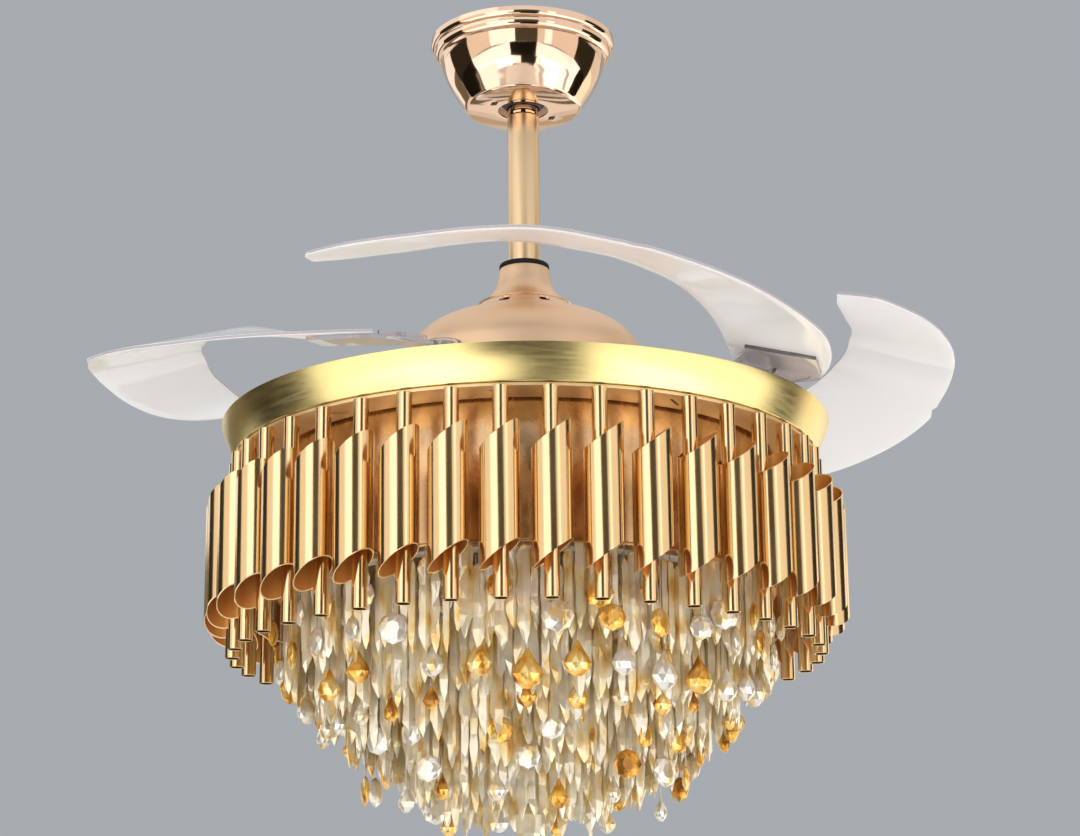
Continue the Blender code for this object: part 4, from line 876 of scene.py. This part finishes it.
def slanted_pipe(bm, radius, wall, low, high, slope, centre, turn, sides):
    """A pipe whose ends are cut on a slant that rises along local +Y, with soft rims."""
    chamfer = min(0.0003, wall / 3)
    profile = ((radius, low + chamfer), (radius, high - chamfer), (radius - chamfer, high),
               (radius - wall + chamfer, high), (radius - wall, high - chamfer),
               (radius - wall, low + chamfer), (radius - wall + chamfer, low),
               (radius - chamfer, low))
    rings = []
    for r, z in profile:
        ring = []
        for k in range(sides):
            a = math.tau * k / sides
            x, y = r * math.cos(a), r * math.sin(a)
            ring.append(bm.verts.new(turn @ Vector((centre + x, y, z + slope * y))))
        rings.append(ring)
    bridge(bm, rings + rings[:1])


def make_tubes():
    plate_top, tube_foot = top_z("tube_ring"), foot_z("tube_ring")
    foot = plate_top - PLATE_THICK
    slope = math.tan(math.radians(TUBE_CUT_ANGLE))
    thin_centre = BIG_TUBE_CIRCLE_R - BIG_TUBE_R + BIG_TUBE_WALL + THIN_TUBE_R - 0.0002
    middle = foot - BIG_TUBE_DROP - BIG_TUBE_LENGTH / 2
    big, thin = bmesh.new(), bmesh.new()
    for n in range(TUBE_COUNT):
        turn = Matrix.Rotation(math.radians(-90 + 360 / TUBE_COUNT * (n + 0.5)), 4, "Z")
        slanted_pipe(big, BIG_TUBE_R, BIG_TUBE_WALL, middle - BIG_TUBE_LENGTH / 2,
                     middle + BIG_TUBE_LENGTH / 2, slope, BIG_TUBE_CIRCLE_R, turn,
                     BIG_TUBE_SIDES)
        slanted_pipe(thin, THIN_TUBE_R, THIN_TUBE_WALL, tube_foot, foot, 0.0, thin_centre,
                     turn, THIN_TUBE_SIDES)
    slant = finish_piece(new_object("slant_tubes", big, 28), TUBE_GOLD, PENDANT, ["tube_ring"])
    # The inner wall of each slanted tube takes the painted shade material.
    slant.data.materials.append(TUBE_INSIDE_SHADE)
    for face in slant.data.polygons:
        if face.index // BIG_TUBE_SIDES % PIPE_BANDS == INNER_BAND:
            face.material_index = 1
    finish_piece(new_object("thin_tubes", thin, 28), TUBE_GOLD, PENDANT)
    ring = lathe("tube_plate", rounded(washer(PLATE_BORE_R, PLATE_R, foot, plate_top),
                                       0.0005, 2), 192)
    cut_slots(ring, HANGING_SLOT, HANGING_SLOT_R, [36 * n + 13 for n in range(10)],
              foot - 0.002, 0.006, HANGING_SLOT_SLANT)
    finish_piece(ring, PLATE_GOLD, PENDANT, ())


# ---- Crystals ----

ROWS = 6
FIRST_ROW_R, ROW_STEP = 0.197, 0.0262
ICICLE_SHAPES = 9
ICICLE_SPACING = 0.0086
ICICLE_LENGTH, ICICLE_WIDE, ICICLE_DEEP = 0.078, 0.0054, 0.0034
# Share of the length and share of the width.
ICICLE_LEVELS = ((0.0, 0.25), (0.04, 0.80), (0.13, 1.0), (0.30, 0.86), (0.47, 1.04),
                 (0.64, 0.84), (0.80, 0.98), (0.90, 0.78), (1.0, 0.26))
ICICLE_LIFTS = (0.0, 0.003, 0.009, 0.016)
BEAD, BEAD_START, BEAD_SPACING, BEAD_MARGIN = (0.0085, 0.0075), 0.019, 0.0205, 0.006
STRAND_R = 0.0006
OCTAGON, DROP, SMALL_DROP = (0.0120, 0.0070), (0.0122, 0.0300), (0.0080, 0.0220)
# Circles of hanging stones: radius, drop below the band's top, which shape, how many, and
# the share of them that are amber. Fewer than half of the others are hung.
STONE_CIRCLES = ((0.2060, 0.168, "octagon", 34, 0.45), (0.2000, 0.190, "octagon", 30, 0.25),
                 (0.1840, 0.214, "drop", 32, 0.34), (0.1640, 0.240, "small", 28, 0.45),
                 (0.1380, 0.258, "octagon", 22, 0.40), (0.1300, 0.281, "octagon", 20, 0.30),
                 (0.1055, 0.300, "small", 14, 0.25))
AMBER_DROPS = (23, 24, 25)
LEFT_OUT = 0.55


def facet(bm, rings, way_of):
    """Joins rings with quads, which way_of(step) leaves whole at 0 or cuts one way or the
    other, and closes both ends."""
    for step, (a, b) in enumerate(zip(rings, rings[1:])):
        for k in range(len(a)):
            j = (k + 1) % len(a)
            way = way_of(step)
            if way > 0:
                cuts = (a[k], a[j], b[j]), (a[k], b[j], b[k])
            elif way < 0:
                cuts = (a[k], a[j], b[k]), (a[j], b[j], b[k])
            else:
                cuts = ((a[k], a[j], b[j], b[k]),)
            for corners in cuts:
                bm.faces.new(corners)
    bm.faces.new(rings[0])
    bm.faces.new(rings[-1])


def icicle(seed, length):
    """A four-sided glass prism with uneven flanks and a slanted tip. Top at z = 0."""
    rng = random.Random(seed)
    sides = 4
    bm = bmesh.new()
    slant = rng.uniform(-0.006, 0.006)
    rings = []
    for share, size in ICICLE_LEVELS:
        ring = []
        for k in range(sides):
            a = math.tau * k / sides
            width = size * (1 + rng.uniform(-0.14, 0.14))
            lift = rng.uniform(-0.018, 0.018) * length if 0 < share < 1 else 0.0
            lift += slant * math.cos(a) * (share > 0.85)
            ring.append(bm.verts.new((ICICLE_WIDE * width * math.cos(a),
                                      ICICLE_DEEP * width * math.sin(a),
                                      -length * share + abs(slant) * share + lift)))
        rings.append(ring)
    facet(bm, rings, lambda step: 1 if rng.random() < 0.5 else -1)
    return to_mesh(bm)


def gem(radius, thickness):
    """An octagonal cut stone that hangs on edge: table, crown, girdle and back."""
    sides = 8
    bm = bmesh.new()
    rings = []
    for size, lift, shift in ((0.45, 0.5, 0), (0.80, 0.30, 0.5), (1.0, 0.05, 0),
                              (1.0, -0.05, 0), (0.80, -0.30, 0.5), (0.45, -0.5, 0)):
        angles = [math.tau * (k + shift) / sides for k in range(sides)]
        rings.append([bm.verts.new((radius * size * math.sin(a), thickness * lift,
                                    -radius + radius * size * math.cos(a))) for a in angles])
    facet(bm, rings, lambda step: (-1, 1, 0, -1, 1)[step])
    return to_mesh(bm)


def pear(radius, length):
    """A faceted teardrop, its point at z = 0."""
    sides, flat = 10, 0.7
    bm = bmesh.new()
    rings = []
    for i, (share, size) in enumerate(((0.0, 0.08), (0.22, 0.38), (0.45, 0.78), (0.66, 1.0),
                                       (0.84, 0.80), (1.0, 0.30))):
        angles = [math.tau * (k + 0.5 * (i % 2)) / sides for k in range(sides)]
        rings.append([bm.verts.new((radius * size * math.cos(a),
                                    radius * flat * size * math.sin(a), -length * share))
                      for a in angles])
    facet(bm, rings, lambda step: 1 if step % 2 else -1)
    return to_mesh(bm)


def place_copy(bm, template, place, *turns):
    """Adds a template, turned and then moved."""
    matrix = Matrix.Translation(place)
    for turn in turns:
        matrix = matrix @ turn
    before = len(bm.verts)
    bm.from_mesh(template)
    bm.verts.ensure_lookup_table()
    bmesh.ops.transform(bm, matrix=matrix, verts=bm.verts[before:])


def strand(bm, x, y, crystal_top):
    """The thin wire that a crystal hangs on."""
    top, foot = HANG_Z - 0.0003, crystal_top - 0.001
    made = bmesh.ops.create_cone(bm, cap_ends=True, segments=6, radius1=STRAND_R,
                                 radius2=STRAND_R, depth=top - foot)
    bmesh.ops.translate(bm, vec=(x, y, (top + foot) / 2), verts=made["verts"])


def make_crystals():
    rng = random.Random(7)
    icicles = [icicle(seed, ICICLE_LENGTH) for seed in range(ICICLE_SHAPES)]
    bead = gem(*BEAD)
    wires = bmesh.new()
    for row in range(ROWS):
        node, radius = f"crystal_row_{row + 1}", FIRST_ROW_R - ROW_STEP * row
        glass = bmesh.new()
        count = int(math.tau * radius / ICICLE_SPACING)
        for n in range(count):
            angle = math.tau * (n + 0.5 * (row % 2)) / count
            home = Matrix.Rotation(angle + math.pi / 2, 4, "Z")
            twist = Matrix.Rotation(rng.uniform(-0.9, 0.9), 4, "Z")
            inset = rng.uniform(0.0, 0.007)
            x, y = (radius - inset) * math.cos(angle), (radius - inset) * math.sin(angle)
            size = rng.uniform(0.80, 1.0)
            top = foot_z(node) + ICICLE_LENGTH * size + rng.choice(ICICLE_LIFTS)
            place_copy(glass, icicles[rng.randrange(ICICLE_SHAPES)], (x, y, top), home, twist,
                       Matrix.Scale(size, 4, (0, 0, 1)))
            bead_top = top + BEAD_START
            while n % 2 and bead_top < HANG_Z - BEAD_MARGIN:
                place_copy(glass, bead, (x, y, bead_top), home,
                           Matrix.Rotation(rng.uniform(-0.25, 0.25), 4, "Z"))
                bead_top += BEAD_SPACING
            strand(wires, x, y, top)
        finish_piece(new_object(f"crystal_circle_{row + 1}", glass, 0), CRYSTAL, PENDANT, [node])
    stone_rows(wires)
    finish_piece(new_object("crystal_wires", wires), STEEL, PENDANT)


def stone_rows(wires):
    """Amber and clear stones between the circles of icicles."""
    rng = random.Random(11)
    shapes = {"octagon": gem(*OCTAGON), "drop": pear(*DROP), "small": pear(*SMALL_DROP)}
    amber, plain = bmesh.new(), bmesh.new()
    for radius, drop, shape, count, share in STONE_CIRCLES:
        for n in range(count):
            angle = math.tau * n / count + rng.uniform(-0.012, 0.012)
            level = BAND_Z - drop + rng.uniform(-0.005, 0.005)
            size = rng.uniform(0.80, 1.05)
            coloured = rng.random() < share or (shape == "drop" and n in AMBER_DROPS)
            if not coloured and rng.random() < LEFT_OUT:
                continue
            x, y = polar(radius, math.degrees(angle))
            place_copy(amber if coloured else plain, shapes[shape], (x, y, level),
                       Matrix.Rotation(angle + math.pi / 2 + rng.uniform(-0.5, 0.5), 4, "Z"),
                       Matrix.Scale(size, 4))
            strand(wires, x, y, level)
    finish_piece(new_object("amber_stones", amber, 0), AMBER, PENDANT, ())
    finish_piece(new_object("clear_stones", plain, 0), CLEAR_STONE, PENDANT, ())


def make_finial():
    """A cut ball with a pointed drop under it, on a stem."""
    foot, top = foot_z("finial_crystal"), top_z("finial_crystal")
    ball_z = foot + 0.0625
    bm = bmesh.new()
    for sides, outline in (
            (10, ((0.0, 0.016), (0.005, 0.015), (0.0095, 0.010), (0.0125, 0.003),
                  (0.0125, -0.003), (0.0095, -0.010), (0.0, -0.016))),
            (6, ((0.0, -0.020), (0.0060, -0.023), (0.0105, -0.030), (0.0095, -0.045),
                 (0.0, foot - ball_z)))):
        lathe_into(bm, [(radius, ball_z + rise) for radius, rise in outline], sides, False)
    finish_piece(new_object("finial_drop", bm, 0), CRYSTAL, PENDANT, ["finial_crystal"])
    turned("finial_stem", [(0.0, top), (0.0090, top), (0.0090, top - 0.0020),
                           (0.0050, top - 0.0060), (0.0010, top - 0.0080),
                           (0.0010, ball_z + 0.0155), (0.0, ball_z + 0.0155)], 32,
           ROSE_GOLD, PENDANT)


# ---- Nodes that keep their CAD shape ----

CAD_FINISHES = (
    (STEEL, ("hanger_bracket", "ball_pin", "motor_coupling", "rod_pin", "shaft_pin",
             "motor_shaft", "lamp_flange", "centre_rod", "rod_nut", "lower_bearing",
             "upper_bearing")),
    (BLACK_STEEL, ("canopy_screw_1", "canopy_screw_2", "motor_bell_lower",
                   "motor_bell_upper")),
    (BLACK_PLASTIC, ("remote_receiver", "led_driver")),
    (LED_BOARD, ("led_ring_outer", "led_ring_inner")),
    (NYLON, ("swivel_liner",)), (COPPER, ("stator",)), (FERRITE, ("magnet_ring",)),
)


def dress_cad_nodes():
    for material, names in CAD_FINISHES:
        for name in names:
            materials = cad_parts[name].data.materials
            materials.clear()
            materials.append(material)


# ---- Stage, light and camera ----

BACKDROP = (0.388, 0.410, 0.433)
FLOOR_Z, FLOOR_HALF = -2.6, 7.0
FILL = (0.97, 0.98, 1.0, 1)
FILL_STRENGTH = 0.67
# Soft boxes and dark cards stand in a circle about the fan, in tiers. A tier is given by its
# foot, its top and its panels, and a panel by the angles that it covers, to the right of the
# viewer's side, and the radiance that polished metal sees in it. Under CARD_BELOW it is a
# card, which gives no light.
STUDIO_R = 1.75
CARD_BELOW = 0.3
WIDEST_PANEL = 64
SOFT_WHITE, GOLD_LIGHT = (1.0, 0.975, 0.94), (1.0, 0.80, 0.55)
TIERS = (
    (-2.25, -1.42, ((-150, -118, 0.75), (-118, -80, 0.01), (-80, -18, 1.15), (-18, 20, 0.01),
                    (20, 80, 1.05), (80, 118, 0.01), (118, 150, 0.60, GOLD_LIGHT))),
    (-1.42, -0.92, ((-208, -80, 0.16), (-80, -45, 0.95), (-45, -14, 1.95), (-14, -3, 1.00),
                    (-3, 22, 0.02), (22, 32, 1.00), (32, 66, 1.95), (66, 122, 1.35),
                    (122, 155, 1.10))),
    (-0.92, -0.45, ((-150, -118, 0.30), (-118, -80, 0.01), (-80, -18, 1.15), (-18, 20, 0.01),
                    (20, 80, 1.05), (80, 98, 1.30), (98, 118, 0.01), (118, 150, 0.90))),
    (-0.45, 0.30, ((-118, -80, 0.03), (-80, -45, 0.60, GOLD_LIGHT),
                   (-45, -10, 1.20), (-10, 20, 0.08), (20, 30, 0.55, GOLD_LIGHT),
                   (30, 40, 1.20), (40, 80, 0.60, GOLD_LIGHT), (80, 118, 0.03))),
    (-0.45, -0.10, ((-208, -118, 0.16), (118, 150, 1.00, GOLD_LIGHT))),
    (-0.10, 0.30, ((-150, -118, 0.75), (118, 150, 0.50, GOLD_LIGHT))),
    (0.30, 0.90, ((-140, -84, 0.62), (-84, -30, 0.96), (-30, 20, 0.55), (20, 86, 0.52),
                  (86, 140, 0.44, GOLD_LIGHT))),
    (-0.92, 0.20, ((152, 208, 0.36, GOLD_LIGHT),)),
)
TOP_BOX_AT, TOP_BOX_SIZE, TOP_BOX_RADIANCE = (0, 0.6, 1.35), (3.2, 3.4), 0.45
FOCAL_PIXELS, PHOTO_WIDTH, SENSOR = 2819, 1080, 36
CAMERA_AT = (0.0, -2.245, -0.9825)
CAMERA_PITCH, CAMERA_YAW, CAMERA_ROLL = 16.06, -0.309, -0.52


def make_stage():
    bm = bmesh.new()
    bmesh.ops.create_grid(bm, x_segments=8, y_segments=8, size=FLOOR_HALF)
    bmesh.ops.translate(bm, vec=(0, 0, FLOOR_Z), verts=bm.verts)
    floor = new_object("floor", bm, 0)
    material, tree, shader = node_material("pale_floor", {"Roughness": 0.8})
    colour_by(tree, shader, texture(tree, 0.6), [(CLOUD_LOW, (0.84, 0.85, 0.86)),
                                                 (CLOUD_HIGH, (0.88, 0.89, 0.90))])
    floor.data.materials.append(material)


def make_world():
    """The backdrop's grey for the camera, metal and glass, and a soft fill for the rest."""
    world = bpy.data.worlds.new("studio")
    bpy.context.scene.world = world
    world.use_nodes = True
    tree = world.node_tree
    tree.nodes.clear()
    backdrop, fill, path, mix, out = (tree.nodes.new("ShaderNode" + kind) for kind in (
        "Background", "Background", "LightPath", "MixShader", "OutputWorld"))
    put(backdrop, {"Color": (*BACKDROP, 1)})
    put(fill, {"Color": FILL, "Strength": FILL_STRENGTH})
    seen = path.outputs["Is Camera Ray"]
    for kind in ("Is Glossy Ray", "Is Transmission Ray"):
        either = tree.nodes.new("ShaderNodeMath")
        either.operation = "MAXIMUM"
        tree.links.new(seen, either.inputs[0])
        tree.links.new(path.outputs[kind], either.inputs[1])
        seen = either.outputs[0]
    tree.links.new(seen, mix.inputs["Fac"])
    tree.links.new(fill.outputs[0], mix.inputs[1])
    tree.links.new(backdrop.outputs[0], mix.inputs[2])
    tree.links.new(mix.outputs[0], out.inputs["Surface"])


def panels_of(tier):
    """A tier's panels, the wide ones split so that they keep to the circle."""
    for start, end, radiance, *colour in tier:
        parts = math.ceil((end - start) / WIDEST_PANEL)
        step = (end - start) / parts
        for k in range(parts):
            yield start + step * k, start + step * (k + 1), radiance, colour


def soft_box(name, place, facing, size, radiance, colour=SOFT_WHITE):
    lamp = bpy.data.lights.new(name, "AREA")
    lamp.shape = "RECTANGLE"
    lamp.size, lamp.size_y = size
    lamp.color = colour
    lamp.energy = radiance * math.pi * size[0] * size[1]
    box = link(bpy.data.objects.new(name, lamp))
    box.location = place
    box.rotation_euler = facing
    box.visible_camera = False
    box.visible_transmission = False


def dark_card(name, place, turn, size, shade):
    """A card that only reflections show."""
    material = node_material(name + "_cloth", {
        "Base Color": (shade, shade * 0.85, shade * 0.55, 1), "Roughness": 0.9,
        "Specular IOR Level": 0.0})[0]
    bm = bmesh.new()
    bmesh.ops.create_grid(bm, x_segments=1, y_segments=1, size=0.5)
    bmesh.ops.transform(bm, matrix=Matrix.Translation(place) @ Matrix.Rotation(turn, 4, "Z")
                        @ Matrix.Rotation(math.pi / 2, 4, "X")
                        @ Matrix.Diagonal((*size, 1, 1)), verts=bm.verts)
    card = new_object(name, bm, 0)
    card.data.materials.append(material)
    for kind in ("camera", "diffuse", "transmission", "shadow"):
        setattr(card, "visible_" + kind, False)


def make_lamps():
    for tier, (low, high, panels) in enumerate(TIERS):
        for n, (start, end, radiance, colour) in enumerate(panels_of(panels)):
            turn, half = math.radians((start + end) / 2), math.radians((end - start) / 2)
            away = STUDIO_R * math.cos(half)
            place = (away * math.sin(turn), -away * math.cos(turn), (low + high) / 2)
            size = (2 * away * math.tan(half), high - low)
            if radiance < CARD_BELOW:
                dark_card(f"card_{tier}_{n}", place, turn, size, radiance)
            else:
                soft_box(f"soft_box_{tier}_{n}", place, (math.pi / 2, 0, turn), size,
                         radiance, *colour)
    soft_box("soft_box_top", TOP_BOX_AT, (0, 0, 0), TOP_BOX_SIZE, TOP_BOX_RADIANCE)


def make_camera():
    data = bpy.data.cameras.new("camera")
    data.sensor_width = SENSOR
    data.lens = FOCAL_PIXELS / PHOTO_WIDTH * SENSOR
    camera = link(bpy.data.objects.new("camera", data))
    camera.matrix_world = (Matrix.Translation(CAMERA_AT)
                           @ Matrix.Rotation(math.radians(CAMERA_YAW), 4, "Z")
                           @ Matrix.Rotation(math.radians(90 + CAMERA_PITCH), 4, "X")
                           @ Matrix.Rotation(math.radians(CAMERA_ROLL), 4, "Z"))
    bpy.context.scene.camera = camera


make_camera()
make_canopy()
make_hanger()
make_covers()
make_rotor()
make_pivots()
make_blades()
make_lamp_body()
make_tubes()
make_crystals()
make_finial()
dress_cad_nodes()
make_stage()
make_world()
make_lamps()
bpy.context.scene.view_settings.view_transform = "Standard"
